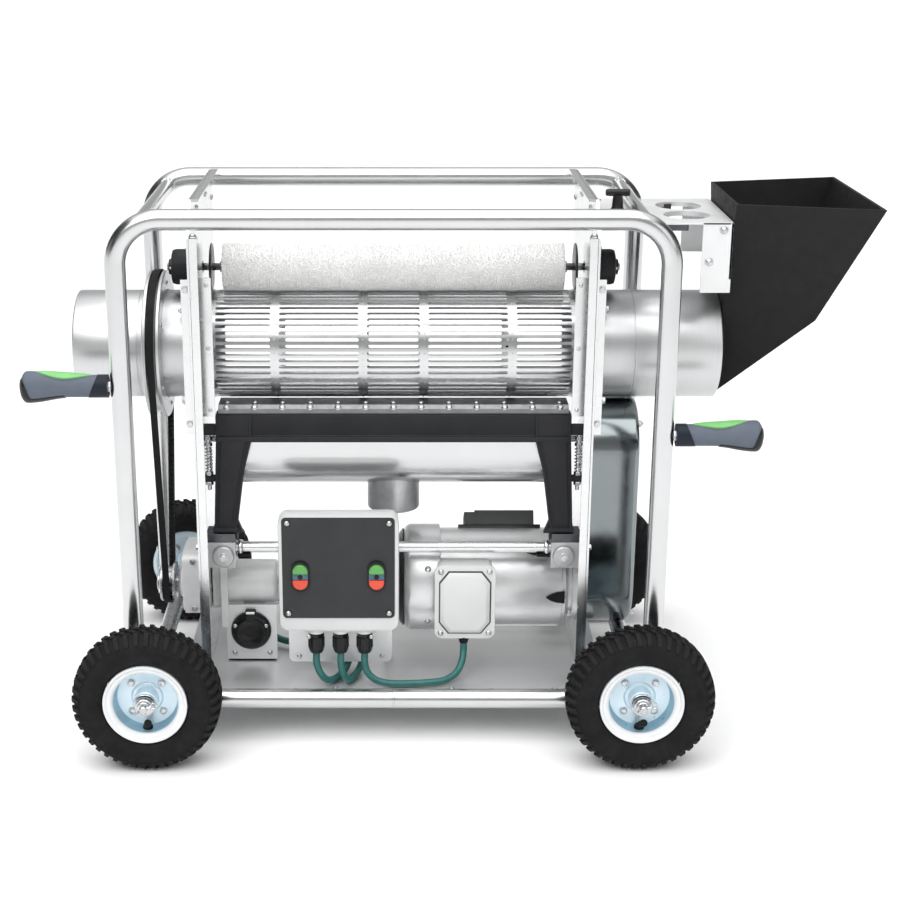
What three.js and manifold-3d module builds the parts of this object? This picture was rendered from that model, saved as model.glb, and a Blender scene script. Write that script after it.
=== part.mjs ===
// A wheeled drum trimmer: a slotted tumbler under a cleaning brush and over a reel cutter, in a tube frame.
// Millimetres. X runs along the tumbler towards the hopper, Y runs to the back, Z is up, the floor is Z = 0.
// Places are worked out with X = 0 at the middle of the frame; the group is then centred on its length.

import * as THREE from 'three';
import { ConvexGeometry } from 'three/addons/geometries/ConvexGeometry.js';
import { mergeVertices } from 'three/addons/utils/BufferGeometryUtils.js';
import Module from 'manifold-3d';

const wasm = await Module();
wasm.setup();

// ---------------------------------------------------------------- driving dimensions

const GAP = 0.3; // between pieces that touch

const FRAME = { halfLength: 392, halfDepth: 190, top: 806, bottom: 67, tube: 15, bend: 65 };
const CROSS = { radius: 9.5, turn: 57 * Math.PI / 180 };
const AXLE = { x: 364, z: 110, rod: 6.35, pipe: 13, halfPipe: 172, halfRod: 317 };
const WHEEL = { radius: 110, halfWidth: 33.5, bead: 63.2, rim: 62.2, bore: 7, y: 270, segments: 20 };
const TRAY = { halfLength: 330, halfDepth: 173.5, top: 68, thick: 3, skirt: 16 };
const PLATE = { inner: 290, thick: 4, halfDepth: 165, top: 822, shoulder: 774, bottom: 68.6 };

const DRUM = { z: 579, radius: 82.5, wall: 3, half: 284, facets: 16, slot: 19 };
const DRUM_BANDS = [-268, -184.5, -172.5, -52, -40, 40, 52, 172.5, 184.5, 268];
const TUBE_END = { outfeed: -481, infeed: 493 };
const ROLLER = { radius: 17, from: 297, to: 315, shaft: 6, shaftEnd: 321 };
const ROLLER_TURNS = { upper_front: 135, lower_front: 225, lower_rear: 315 };

const DRUM_PULLEY = { from: -373, to: -347, radius: 112.5, root: 104, beltRoot: 106 };
const GEAR = { y: -18, z: 190, radius: 35, pulley: 32, root: 24, beltRoot: 27, shaft: 8 };
const V_BELT_HEIGHT = 8;

const BRUSH = { z: 699, radius: 37.2, half: 258.5, shaft: 5.5, shaftHalf: 344 };
const REEL = { y: -12, z: 431, radius: 61.5, half: 256, shaft: 8, blades: 5, twist: 0.9 };
const REEL_DRIVE = { from: 338, to: 356, reelRadius: 24, motorRadius: 40, beltThick: 4 };
const GUARD = { from: 322, to: 376, radius: 75, wall: 2.5, top: 420, bottom: 200 };
const MOTOR = { z: 195, radius: 78, from: 74.3, to: 268, shaft: 9.5, shaftEnd: 360 };
const FAN_COVER = { from: 9, to: 74.3, radius: 85 };

const CUTTER = { front: -100, back: -76, legBack: -85, top: 494, bottom: 451, half: 268, foot: 306 };
const CLAMP = { y: -88, z: 276, rod: 8.75, from: 243, to: 288, halfHeight: 28, front: -106, back: -70 };
const CHUTE = { radius: 71, wall: 2, half: 258, lip: 446, portTop: 360, portBottom: 318, port: 41 };

const BOX = { left: -174, right: 8, front: -165, back: -123, bottom: 168, top: 353, corner: 14 };
const PANEL = { left: -167.5, right: 1.5, bottom: 191, thick: 2 };
const BUTTON = { columns: [-140.6, -25.5], rows: [247.5, 272.5], z: 260, radius: 10.5, travel: 3 };
const GLAND = { y: -145, places: [-119, -81.5, -44.5], radius: 11.5, bottom: 124 };
const CABLE = { radius: 5.5, sides: 8 };
const INLET = { x: -227, y: -58, z: 122, radius: 32 };

const GRIP = { y: -190, left: 565, right: 491, from: 407.6, to: 536 };
const HOPPER = { left: 495, wall: 4, length: 204 };
const BRACKET = { left: 300, right: 493, halfDepth: 103, top: 785.7, thick: 3, hole: 34.5, holeX: 435 };
const KNOB = { x: 337, stem: 10, thread: 4, top: 818 };

// ---------------------------------------------------------------- solids

// A closed three.js geometry as a solid that can be joined and cut.
function solid(geometry) {
  const bare = geometry.index ? geometry.toNonIndexed() : geometry.clone();
  bare.deleteAttribute('normal');
  bare.deleteAttribute('uv');
  const merged = mergeVertices(bare, 1e-3);
  const corners = merged.attributes.position;
  const triVerts = [];
  let volume = 0;
  const [a, b, c] = [new THREE.Vector3(), new THREE.Vector3(), new THREE.Vector3()];
  for (let i = 0; i < merged.index.count; i += 3) {
    const [p, q, r] = [0, 1, 2].map((k) => merged.index.getX(i + k));
    if (p === q || q === r || r === p) continue;
    triVerts.push(p, q, r);
    a.fromBufferAttribute(corners, p);
    b.fromBufferAttribute(corners, q);
    c.fromBufferAttribute(corners, r);
    volume += a.dot(b.cross(c));
  }
  if (volume < 0) triVerts.reverse();
  return new wasm.Manifold(new wasm.Mesh({
    numProp: 3,
    vertProperties: new Float32Array(corners.array),
    triVerts: new Uint32Array(triVerts),
  }));
}

// The solid's surface as a geometry again.
function surface(shape) {
  const { vertProperties, triVerts } = shape.getMesh();
  const geometry = new THREE.BufferGeometry();
  geometry.setAttribute('position', new THREE.BufferAttribute(new Float32Array(vertProperties), 3));
  geometry.setIndex([...triVerts]);
  geometry.computeVertexNormals();
  return geometry;
}

const joined = (...shapes) => shapes.reduce((whole, shape) => whole.add(shape));
const cut = (shape, ...tools) => tools.reduce((rest, tool) => rest.subtract(tool), shape);

// A box between two corners.
function box([x0, x1], [y0, y1], [z0, z1]) {
  const geometry = new THREE.BoxGeometry(x1 - x0, y1 - y0, z1 - z0);
  return solid(geometry.translate((x0 + x1) / 2, (y0 + y1) / 2, (z0 + z1) / 2));
}

// A lathe turns about Y; this lays its axis along X, Y or Z, through a place.
function laid(geometry, axis, [x, y, z]) {
  if (axis === 'x') geometry.rotateZ(-Math.PI / 2);
  if (axis === 'z') geometry.rotateX(Math.PI / 2);
  return solid(geometry.translate(x, y, z));
}

// A turned solid. The profile lists [radius, distance along the axis]. One off the axis is closed.
function turned(profile, axis, place, segments = 24, phase = 0) {
  const points = profile.map(([radius, along]) => new THREE.Vector2(radius, along));
  if (profile[0][0] > 0) points.push(points[0].clone());
  return laid(new THREE.LatheGeometry(points, segments, phase), axis, place);
}

// A round bar from one distance to another along an axis; place gives the other two coordinates.
function bar(axis, radius, from, to, place, segments = 16) {
  const at = [...place];
  at['xyz'.indexOf(axis)] = 0;
  return turned([[0, from], [radius, from], [radius, to], [0, to]], axis, at, segments);
}

const FACING_X = new THREE.Matrix4().set(0, 0, 1, 0, 1, 0, 0, 0, 0, 1, 0, 0, 0, 0, 0, 1);
const FACING_Y = new THREE.Matrix4().set(1, 0, 0, 0, 0, 0, 1, 0, 0, 1, 0, 0, 0, 0, 0, 1);

// A straight prism. Its outline is drawn looking along the axis: (y, z) for x, (x, z) for y, (x, y) for z.
function prism(shape, axis, from, to, curveSegments = 8) {
  const depth = to - from;
  const geometry = new THREE.ExtrudeGeometry(shape, { depth, bevelEnabled: false, curveSegments });
  geometry.translate(0, 0, from);
  if (axis === 'x') geometry.applyMatrix4(FACING_X);
  if (axis === 'y') geometry.applyMatrix4(FACING_Y);
  return solid(geometry);
}

const outline = (corners) => new THREE.Shape(corners.map(([a, b]) => new THREE.Vector2(a, b)));

// A rectangle with round corners.
function roundedRectangle(a0, a1, b0, b1, radius) {
  const shape = new THREE.Shape();
  shape.absarc(a1 - radius, b1 - radius, radius, 0, Math.PI / 2);
  shape.absarc(a0 + radius, b1 - radius, radius, Math.PI / 2, Math.PI);
  shape.absarc(a0 + radius, b0 + radius, radius, Math.PI, 1.5 * Math.PI);
  shape.absarc(a1 - radius, b0 + radius, radius, 1.5 * Math.PI, 2 * Math.PI);
  return shape;
}

// A path with its stations exactly where they are listed.
class Route extends THREE.Curve {
  constructor(stations) {
    super();
    this.stations = stations;
  }

  getPoint(t, target = new THREE.Vector3()) {
    const last = this.stations.length - 1;
    const place = Math.min(Math.max(t, 0), 1) * last;
    const index = Math.min(Math.floor(place), last - 1);
    return target.lerpVectors(this.stations[index], this.stations[index + 1], place - index);
  }

  getUtoTmapping(u) {
    return u;
  }
}

// A solid tube of one radius along listed stations.
function pipe(stations, radius, sides) {
  const section = new THREE.Shape();
  for (let i = 0; i < sides; i += 1) {
    const turn = 2 * Math.PI * (i + 0.5) / sides;
    const point = [radius * Math.cos(turn), radius * Math.sin(turn)];
    if (i === 0) section.moveTo(...point);
    else section.lineTo(...point);
  }
  return solid(new THREE.ExtrudeGeometry(section, {
    steps: stations.length - 1,
    extrudePath: new Route(stations),
    bevelEnabled: false,
  }));
}

// A cable through hand-placed points, as one smooth curve.
function cable(points, steps) {
  const stations = points.map((point) => new THREE.Vector3(...point));
  const curve = new THREE.CatmullRomCurve3(stations, false, 'centripetal');
  return pipe(curve.getSpacedPoints(steps), CABLE.radius, CABLE.sides);
}

// Stations of a belt's outer or inner line round two pulleys on parallel X axes, as [y, z] corners.
function beltLine(low, high, lowRadius, highRadius, steps) {
  const distance = Math.hypot(high[0] - low[0], high[1] - low[1]);
  const lean = Math.atan2(high[1] - low[1], high[0] - low[0]);
  const spread = Math.acos((lowRadius - highRadius) / distance);
  const corners = [];
  for (let i = 0; i <= steps.high; i += 1) {
    const turn = lean - spread + 2 * spread * i / steps.high;
    corners.push([high[0] + highRadius * Math.cos(turn), high[1] + highRadius * Math.sin(turn)]);
  }
  for (let i = 0; i <= steps.low; i += 1) {
    const turn = lean + spread + (2 * Math.PI - 2 * spread) * i / steps.low;
    corners.push([low[0] + lowRadius * Math.cos(turn), low[1] + lowRadius * Math.sin(turn)]);
  }
  return corners;
}

// A flat belt between an inner and an outer line.
function belt(low, high, lowRadius, highRadius, height, from, to, steps) {
  const shape = outline(beltLine(low, high, lowRadius + height, highRadius + height, steps));
  shape.holes.push(outline(beltLine(low, high, lowRadius, highRadius, steps)));
  return prism(shape, 'x', from, to);
}

// ---------------------------------------------------------------- the assembly

const machine = new THREE.Group();

const FINISH = {
  polished: { color: 0xd9dcde, roughness: 0.12, metalness: 1 },
  brushed: { color: 0xc4c7c9, roughness: 0.32, metalness: 1 },
  zinc: { color: 0xc9d7df, roughness: 0.35, metalness: 0.9 },
  steel: { color: 0x8f9396, roughness: 0.3, metalness: 1 },
  casting: { color: 0x1c1d1f, roughness: 0.55, metalness: 0.1 },
  plastic: { color: 0x17181a, roughness: 0.7, metalness: 0 },
  rubber: { color: 0x15161a, roughness: 0.85, metalness: 0 },
  bristle: { color: 0xe4e4e2, roughness: 0.9, metalness: 0 },
  enamel: { color: 0xd3d4d3, roughness: 0.45, metalness: 0 },
  panel: { color: 0x2c2d30, roughness: 0.6, metalness: 0 },
  teal: { color: 0x1f5f5b, roughness: 0.5, metalness: 0 },
  green: { color: 0x2f9a4a, roughness: 0.35, metalness: 0 },
  red: { color: 0xd9402c, roughness: 0.35, metalness: 0 },
  grip: { color: 0x4c5560, roughness: 0.75, metalness: 0 },
};

function add(name, shape, finish) {
  const mesh = new THREE.Mesh(surface(shape), new THREE.MeshStandardMaterial(FINISH[finish]));
  mesh.name = name;
  machine.add(mesh);
}

const SIDES = { left: -1, right: 1 };

// A pair of distances on one side of the machine, in rising order.
const span = (side, near, far) => (side > 0 ? [near, far] : [-far, -near]);

// ---------------------------------------------------------------- frame

// One closed loop of bent tube, welded at the middle of its bottom rail.
function frameLoop(y) {
  const { halfLength, top, bottom, tube, bend } = FRAME;
  const bendSteps = 4;
  const corners = [[1, -1, -90], [1, 1, 0], [-1, 1, 90], [-1, -1, 180]];
  const stations = [new THREE.Vector3(0.5, y, bottom)];
  for (const [sideX, sideZ, start] of corners) {
    const centreZ = sideZ > 0 ? top - bend : bottom + bend;
    for (let i = 0; i <= bendSteps; i += 1) {
      const turn = (start + 90 * i / bendSteps) * Math.PI / 180;
      const x = sideX * (halfLength - bend) + bend * Math.cos(turn);
      stations.push(new THREE.Vector3(x, y, centreZ + bend * Math.sin(turn)));
    }
  }
  stations.push(new THREE.Vector3(-0.5, y, bottom));
  return joined(pipe(stations, tube, 10), bar('x', tube + 0.8, -5, 5, [0, y, bottom], 14));
}

function buildFrame() {
  const { halfLength, halfDepth, top, tube, bend } = FRAME;
  add('front_frame_loop', frameLoop(-halfDepth), 'polished');
  const crossX = halfLength - bend + bend * Math.cos(CROSS.turn);
  const crossZ = top - bend + bend * Math.sin(CROSS.turn);
  const crossTube = (side) => {
    const place = [side * crossX, 0, crossZ];
    return bar('y', CROSS.radius, -halfDepth + tube + GAP, halfDepth, place, 12);
  };
  add('rear_frame_loop', joined(frameLoop(halfDepth), crossTube(-1), crossTube(1)), 'polished');

  for (const [name, side] of Object.entries(SIDES)) {
    const place = [side * AXLE.x, 0, AXLE.z];
    const rod = bar('y', AXLE.rod, -AXLE.halfRod, AXLE.halfRod, place, 12);
    add(`${name}_axle`, joined(rod, bar('y', AXLE.pipe, -AXLE.halfPipe, AXLE.halfPipe, place, 12)), 'steel');
  }

  const { halfLength: trayX, halfDepth: trayY, top: deck, thick, skirt } = TRAY;
  const deckPlate = box([-trayX, trayX], [-trayY, trayY], [deck - thick, deck]);
  const skirtAt = (y0, y1) => box([-trayX, trayX], [y0, y1], [deck - skirt, deck]);
  const [frontSkirt, rearSkirt] = [skirtAt(-trayY, -trayY + thick), skirtAt(trayY - thick, trayY)];
  add('base_tray', joined(deckPlate, frontSkirt, rearSkirt), 'polished');
}

// A side plate with its tumbler window, bearing holes, and the folded edges that stiffen it.
function sidePlate(side) {
  const { inner, thick, halfDepth, top, shoulder, bottom } = PLATE;
  const shape = outline([
    [-halfDepth, bottom], [halfDepth, bottom], [halfDepth, top], [-121, top], [-halfDepth, shoulder],
  ]);
  const hole = (y, z, radius, segments) => {
    const ring = [];
    for (let i = 0; i < segments; i += 1) {
      const turn = 2 * Math.PI * i / segments;
      ring.push([y + radius * Math.cos(turn), z + radius * Math.sin(turn)]);
    }
    shape.holes.push(outline(ring));
  };
  hole(0, DRUM.z, DRUM.radius + 4, 24);
  hole(0, BRUSH.z, BRUSH.shaft + 4, 8);
  hole(REEL.y, REEL.z, REEL.shaft + 4, 8);
  if (side > 0) hole(REEL.y, MOTOR.z, MOTOR.shaft + 5, 8);
  else hole(GEAR.y, GEAR.z, 18, 8);
  const plate = prism(shape, 'x', ...span(side, inner, inner + thick));
  const lip = (near, far, y, z0, z1) => box(span(side, near, far), [y, y + 3], [z0, z1]);
  return joined(
    plate,
    lip(279, inner + 1, -halfDepth, 100, shoulder),
    lip(264, inner + 1, -135, 502, 711),
    lip(inner + 1, 306, -152, 479, 712),
    box(span(side, 279, inner + 1), [-121, halfDepth], [top - 3, top]),
  );
}

// ---------------------------------------------------------------- tumbler

// The slotted drum: one slot in every facet and in each bay between the bands.
function slottedDrum() {
  const { z, radius, wall, half, facets, slot } = DRUM;
  const ring = [[radius, -half], [radius, half], [radius - wall, half], [radius - wall, -half]];
  const shell = turned(ring, 'x', [0, 0, z], facets, Math.PI / facets);
  const cutters = [];
  for (let bay = 0; bay < DRUM_BANDS.length; bay += 2) {
    for (let i = 0; i < facets / 2; i += 1) {
      const geometry = new THREE.BoxGeometry(DRUM_BANDS[bay + 1] - DRUM_BANDS[bay], 4 * radius, slot);
      geometry.translate((DRUM_BANDS[bay] + DRUM_BANDS[bay + 1]) / 2, 0, 0);
      cutters.push(solid(geometry.rotateX(2 * Math.PI * i / facets).translate(0, 0, z)));
    }
  }
  return cut(shell, ...cutters);
}

function buildTumbler() {
  const { z, radius, wall, half } = DRUM;
  const pipeFrom = (from, to) => turned(
    [[radius, from], [radius, to], [radius - wall, to], [radius - wall, from]],
    'x', [0, 0, z], 32,
  );
  add('tumbler_drum', slottedDrum(), 'polished');
  add('infeed_tube', pipeFrom(half + GAP, TUBE_END.infeed), 'brushed');
  add('outfeed_tube', pipeFrom(TUBE_END.outfeed, -half - GAP), 'brushed');

  const pulley = DRUM_PULLEY;
  const middle = (pulley.from + pulley.to) / 2;
  const groove = (rim, root, from, to) => [
    [rim, from], [rim, middle - 8], [root, middle - 5.5], [root, middle + 5.5], [rim, middle + 8], [rim, to],
  ];
  const bigRim = groove(pulley.radius, pulley.root, pulley.from, pulley.to);
  const bore = radius + 0.9;
  const bigPulley = turned([[bore, pulley.from], ...bigRim, [bore, pulley.to]], 'x', [0, 0, z], 24);
  add('tumbler_pulley', bigPulley, 'brushed');
  const gearRim = groove(GEAR.pulley, GEAR.root, pulley.from + 1, pulley.to - 1);
  const gearBore = GEAR.shaft + 0.5;
  add('gear_motor_pulley', turned(
    [[gearBore, pulley.from + 1], ...gearRim, [gearBore, pulley.to - 1]],
    'x', [0, GEAR.y, GEAR.z], 14,
  ), 'steel');
  add('tumbler_belt', belt(
    [GEAR.y, GEAR.z], [0, z], GEAR.beltRoot, pulley.beltRoot, V_BELT_HEIGHT,
    middle - 5, middle + 5, { low: 6, high: 14 },
  ), 'rubber');

  const body = bar('x', GEAR.radius, -276, -184, [0, GEAR.y, GEAR.z], 16);
  const flange = box([-288, -275], [GEAR.y - 22, GEAR.y + 22], [150, 250]);
  const neck = bar('x', 14, -300, -275, [0, GEAR.y, GEAR.z], 12);
  const gearbox = box([-334, -296], [-62, 26], [148, 252]);
  const output = bar('x', GEAR.shaft, pulley.from - 2, -330, [0, GEAR.y, GEAR.z], 12);
  add('gear_motor', joined(body, flange, neck, gearbox, output), 'enamel');

  const reach = radius + ROLLER.radius + 0.6;
  for (const [name, side] of Object.entries(SIDES)) {
    for (const [spot, degrees] of Object.entries(ROLLER_TURNS)) {
      const turn = degrees * Math.PI / 180;
      const place = [0, reach * Math.cos(turn), z + reach * Math.sin(turn)];
      const tyre = bar('x', ROLLER.radius, ...span(side, ROLLER.from, ROLLER.to), place, 14);
      const shaftSpan = span(side, PLATE.inner + PLATE.thick + 0.5, ROLLER.shaftEnd);
      const shaft = bar('x', ROLLER.shaft, ...shaftSpan, place, 8);
      add(`${name}_${spot}_roller`, joined(tyre, shaft), 'rubber');
    }
  }
}

// ---------------------------------------------------------------- brush

function buildBrush() {
  const place = [0, 0, BRUSH.z];
  const bristles = bar('x', BRUSH.radius, -BRUSH.half, BRUSH.half, place, 20);
  const shaft = bar('x', BRUSH.shaft, -BRUSH.shaftHalf, BRUSH.shaftHalf, place, 8);
  add('brush_roller', joined(bristles, shaft), 'bristle');
  for (const [name, side] of Object.entries(SIDES)) {
    const wallFace = PLATE.inner + PLATE.thick + GAP;
    const ears = roundedRectangle(-25, 25, BRUSH.z - 36.5, BRUSH.z + 36.5, 20);
    const flange = prism(ears, 'x', ...span(side, wallFace, 304), 3);
    const housing = bar('x', 27, ...span(side, 303, 336), place, 14);
    const collar = bar('x', 12, ...span(side, 335, 341), place, 12);
    const bore = bar('x', BRUSH.shaft + 0.5, ...span(side, 280, 350), place, 8);
    add(`${name}_brush_bearing`, cut(joined(flange, housing, collar), bore), 'casting');
  }
}

// ---------------------------------------------------------------- cutter

// The black casting: a crossbar with a lower lip, and two legs that narrow downwards.
function cutterFrame() {
  const { front, back, legBack, top, bottom, half, foot } = CUTTER;
  const crossbar = box([-half, half], [front, back], [bottom, top]);
  const lip = box([-half, half], [front - 4, front + 1], [bottom, bottom + 9]);
  const legs = [-1, 1].map((side) => {
    const shoulder = bottom + 6;
    const ends = [[215, shoulder], [half, shoulder], [275, foot], [241, foot]];
    const leg = outline(ends.map(([x, z]) => [side * x, z]));
    return prism(leg, 'y', front, legBack);
  });
  return joined(crossbar, lip, ...legs);
}

// The reel: three spiders and helical blades on one shaft.
function cuttingReel() {
  const { y, z, radius, half, shaft, blades, twist } = REEL;
  const parts = [bar('x', shaft, -300, REEL_DRIVE.to + 6, [0, y, z], 10)];
  for (const x of [-half + 14, 0, half - 14]) {
    parts.push(bar('x', radius - 12, x - 3, x + 3, [0, y, z], 12));
  }
  const section = [[radius, 0.035], [radius - 20, 0.16], [radius - 20, 0.06], [radius, -0.035]];
  const steps = 8;
  for (let blade = 0; blade < blades; blade += 1) {
    const start = 2 * Math.PI * blade / blades;
    const corners = [];
    for (let i = 0; i <= steps; i += 1) {
      const turn = start + twist * i / steps;
      const x = -half + 2 * half * i / steps;
      for (const [reach, lead] of section) {
        corners.push([x, y + reach * Math.cos(turn + lead), z + reach * Math.sin(turn + lead)]);
      }
    }
    parts.push(solid(strip(corners, 4)));
  }
  return joined(...parts);
}

// A closed strip through rings of corners, all of one count, with flat ends.
function strip(corners, count) {
  const rings = corners.length / count;
  const triangles = [];
  for (let ring = 0; ring < rings - 1; ring += 1) {
    for (let i = 0; i < count; i += 1) {
      const [a, b] = [ring * count + i, ring * count + (i + 1) % count];
      triangles.push(a, b, a + count, b, b + count, a + count);
    }
  }
  const last = (rings - 1) * count;
  for (let i = 1; i < count - 1; i += 1) {
    triangles.push(0, i + 1, i, last, last + i, last + i + 1);
  }
  const geometry = new THREE.BufferGeometry();
  geometry.setAttribute('position', new THREE.Float32BufferAttribute(corners.flat(), 3));
  geometry.setIndex(triangles);
  return geometry;
}

// A polished trough round the reel, with a round port below it for a vacuum hose.
function dischargeChute() {
  const { radius, wall, half, lip, portTop, portBottom, port } = CHUTE;
  const { y, z } = REEL;
  const trough = new THREE.Shape();
  trough.moveTo(y - radius, lip);
  trough.lineTo(y - radius, z);
  trough.absarc(y, z, radius, Math.PI, 2 * Math.PI);
  trough.lineTo(y + radius, lip);
  trough.lineTo(y + radius - wall, lip);
  trough.lineTo(y + radius - wall, z);
  trough.absarc(y, z, radius - wall, 2 * Math.PI, Math.PI, true);
  trough.lineTo(y - radius + wall, lip);
  const shell = prism(trough, 'x', -half, half, 8);
  const neck = portTop - 10;
  const funnel = turned([
    [0, portTop + 8], [54, portTop + 8], [port, neck], [port, portBottom], [0, portBottom],
  ], 'z', [0, y, 0], 16);
  const inside = turned([
    [0, portTop + 20], [52, portTop + 20], [52, portTop + 8], [port - wall, neck - 0.5],
    [port - wall, portBottom - 5], [0, portBottom - 5],
  ], 'z', [0, y, 0], 16);
  const room = bar('x', radius - wall, -half, half, [0, y, z], 16);
  return cut(joined(shell, cut(funnel, room)), inside);
}

function buildCutter() {
  const { y, z } = REEL;
  add('cutter_frame', cutterFrame(), 'casting');
  const { front, top, half } = CUTTER;
  const knife = outline([[front + 4, top + GAP], [-64, top + GAP], [-52, top + 13], [front + 8, top + 13]]);
  add('bedknife', prism(knife, 'x', -half + 4, half - 4), 'steel');

  const rodPlace = [0, CLAMP.y, CLAMP.z];
  const blocks = [-1, 1].map((side) => box(
    span(side, CLAMP.from, CLAMP.to),
    [CLAMP.front, CLAMP.back],
    [CLAMP.z - CLAMP.halfHeight, CLAMP.z + CLAMP.halfHeight],
  ));
  add('cutter_support_rod', joined(bar('x', CLAMP.rod, -285, 285, rodPlace, 12), ...blocks), 'polished');

  add('cutting_reel', cuttingReel(), 'steel');
  const { from, to, reelRadius, motorRadius, beltThick } = REEL_DRIVE;
  const flanged = (rim, bore) => [[bore, from], [rim, from], [rim, to], [bore, to]];
  add('reel_pulley', turned(flanged(reelRadius, REEL.shaft + 0.5), 'x', [0, y, z], 16), 'steel');
  add('motor_pulley', turned(flanged(motorRadius, MOTOR.shaft + 0.6), 'x', [0, y, MOTOR.z], 20), 'steel');
  add('reel_belt', belt(
    [y, MOTOR.z], [y, z], motorRadius + 1, reelRadius + 1, beltThick, from + 2, to - 2, { low: 12, high: 8 },
  ), 'teal');

  const obround = (reach) => {
    const shape = new THREE.Shape();
    shape.absarc(y, GUARD.top, reach, 0, Math.PI);
    shape.absarc(y, GUARD.bottom, reach, Math.PI, 2 * Math.PI);
    return shape;
  };
  const cover = cut(
    prism(obround(GUARD.radius), 'x', GUARD.from, GUARD.to, 8),
    prism(obround(GUARD.radius - GUARD.wall), 'x', GUARD.from - 5, GUARD.to - GUARD.wall, 8),
  );
  const corners = [[GUARD.top, 45], [GUARD.top, 135], [GUARD.bottom, -45], [GUARD.bottom, -135]];
  const studs = corners.map(([level, degrees]) => {
    const turn = degrees * Math.PI / 180;
    const place = [0, y + 66.5 * Math.cos(turn), level + 66.5 * Math.sin(turn)];
    return bar('x', 5, PLATE.inner + PLATE.thick + GAP, GUARD.to - 1, place, 6);
  });
  add('belt_guard', joined(cover, ...studs), 'polished');

  const motorPlace = [0, y, MOTOR.z];
  const fanCover = turned([
    [0, FAN_COVER.from], [68, FAN_COVER.from], [FAN_COVER.radius, FAN_COVER.from + 16],
    [FAN_COVER.radius, FAN_COVER.to], [0, FAN_COVER.to],
  ], 'x', motorPlace, 24);
  const stator = bar('x', MOTOR.radius, MOTOR.from - 2, MOTOR.to, motorPlace, 24);
  const flange = bar('x', 70, MOTOR.to - 2, PLATE.inner - GAP, motorPlace, 16);
  const shaft = bar('x', MOTOR.shaft, MOTOR.to, MOTOR.shaftEnd, motorPlace, 10);
  // the capacitor cover leans back from the crown of the stator
  const lean = 35 * Math.PI / 180;
  const onStator = ([front, out]) => [
    y - front * Math.cos(lean) + out * Math.sin(lean),
    MOTOR.z + front * Math.sin(lean) + out * Math.cos(lean),
  ];
  const section = outline([[22, 72], [22, 105], [-22, 105], [-22, 72]].map(onStator));
  const hump = prism(section, 'x', 114, 226);
  add('drive_motor', joined(fanCover, stator, flange, shaft, hump), 'polished');
  const clear = joined(
    bar('x', MOTOR.radius + 0.8, 0, 300, motorPlace, 24),
    bar('x', FAN_COVER.radius + 0.8, 0, FAN_COVER.to + GAP, motorPlace, 24),
  );
  const housing = prism(roundedRectangle(64, 158, 132, 254, 12), 'y', -116, -60, 3);
  const gland = bar('z', 8, 122.1, 134, [110, -104, 0], 10);
  add('motor_terminal_box', joined(cut(housing, clear), gland), 'enamel');
  add('discharge_chute', dischargeChute(), 'polished');
}

// ---------------------------------------------------------------- controls

const CABLES = {
  tumbler_cable: [
    [-119, -145, 123.7], [-119, -146, 106], [-113, -150, 90], [-103, -148, 78], [-92, -138, 75],
    [-82, -120, 75.5], [-74, -102, 79], [-69, -86, 92], [-70, -76, 112], [-78, -68, 132],
    [-92, -60, 141], [-110, -48, 146], [-130, -31, 154], [-145, -20, 167], [-156, -18, 182],
    [-170, -18, 189.6], [-183.7, -18, 190],
  ],
  supply_cable: [
    [-81.5, -145, 123.7], [-81.5, -146, 106], [-78, -150, 89], [-71, -146, 77], [-63, -130, 75],
    [-56, -112, 76], [-51, -95, 82], [-52, -78, 94], [-64, -62, 102], [-84, -49, 103],
    [-112, -36, 94], [-146, -22, 84], [-180, -4, 79], [-206, 14, 86], [-220, 22, 104],
    [-226, 12, 119], [-227, -8, 122], [-227, -29.7, 122],
  ],
  cutter_cable: [
    [-44.5, -145, 123.7], [-44.5, -146, 106], [-40, -149, 91], [-28, -152, 80], [-8, -154, 75],
    [20, -154, 74.5], [50, -152, 75], [78, -146, 76], [97, -133, 82], [107, -117, 94],
    [110, -105, 108], [110, -104, 121.7],
  ],
};

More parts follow.
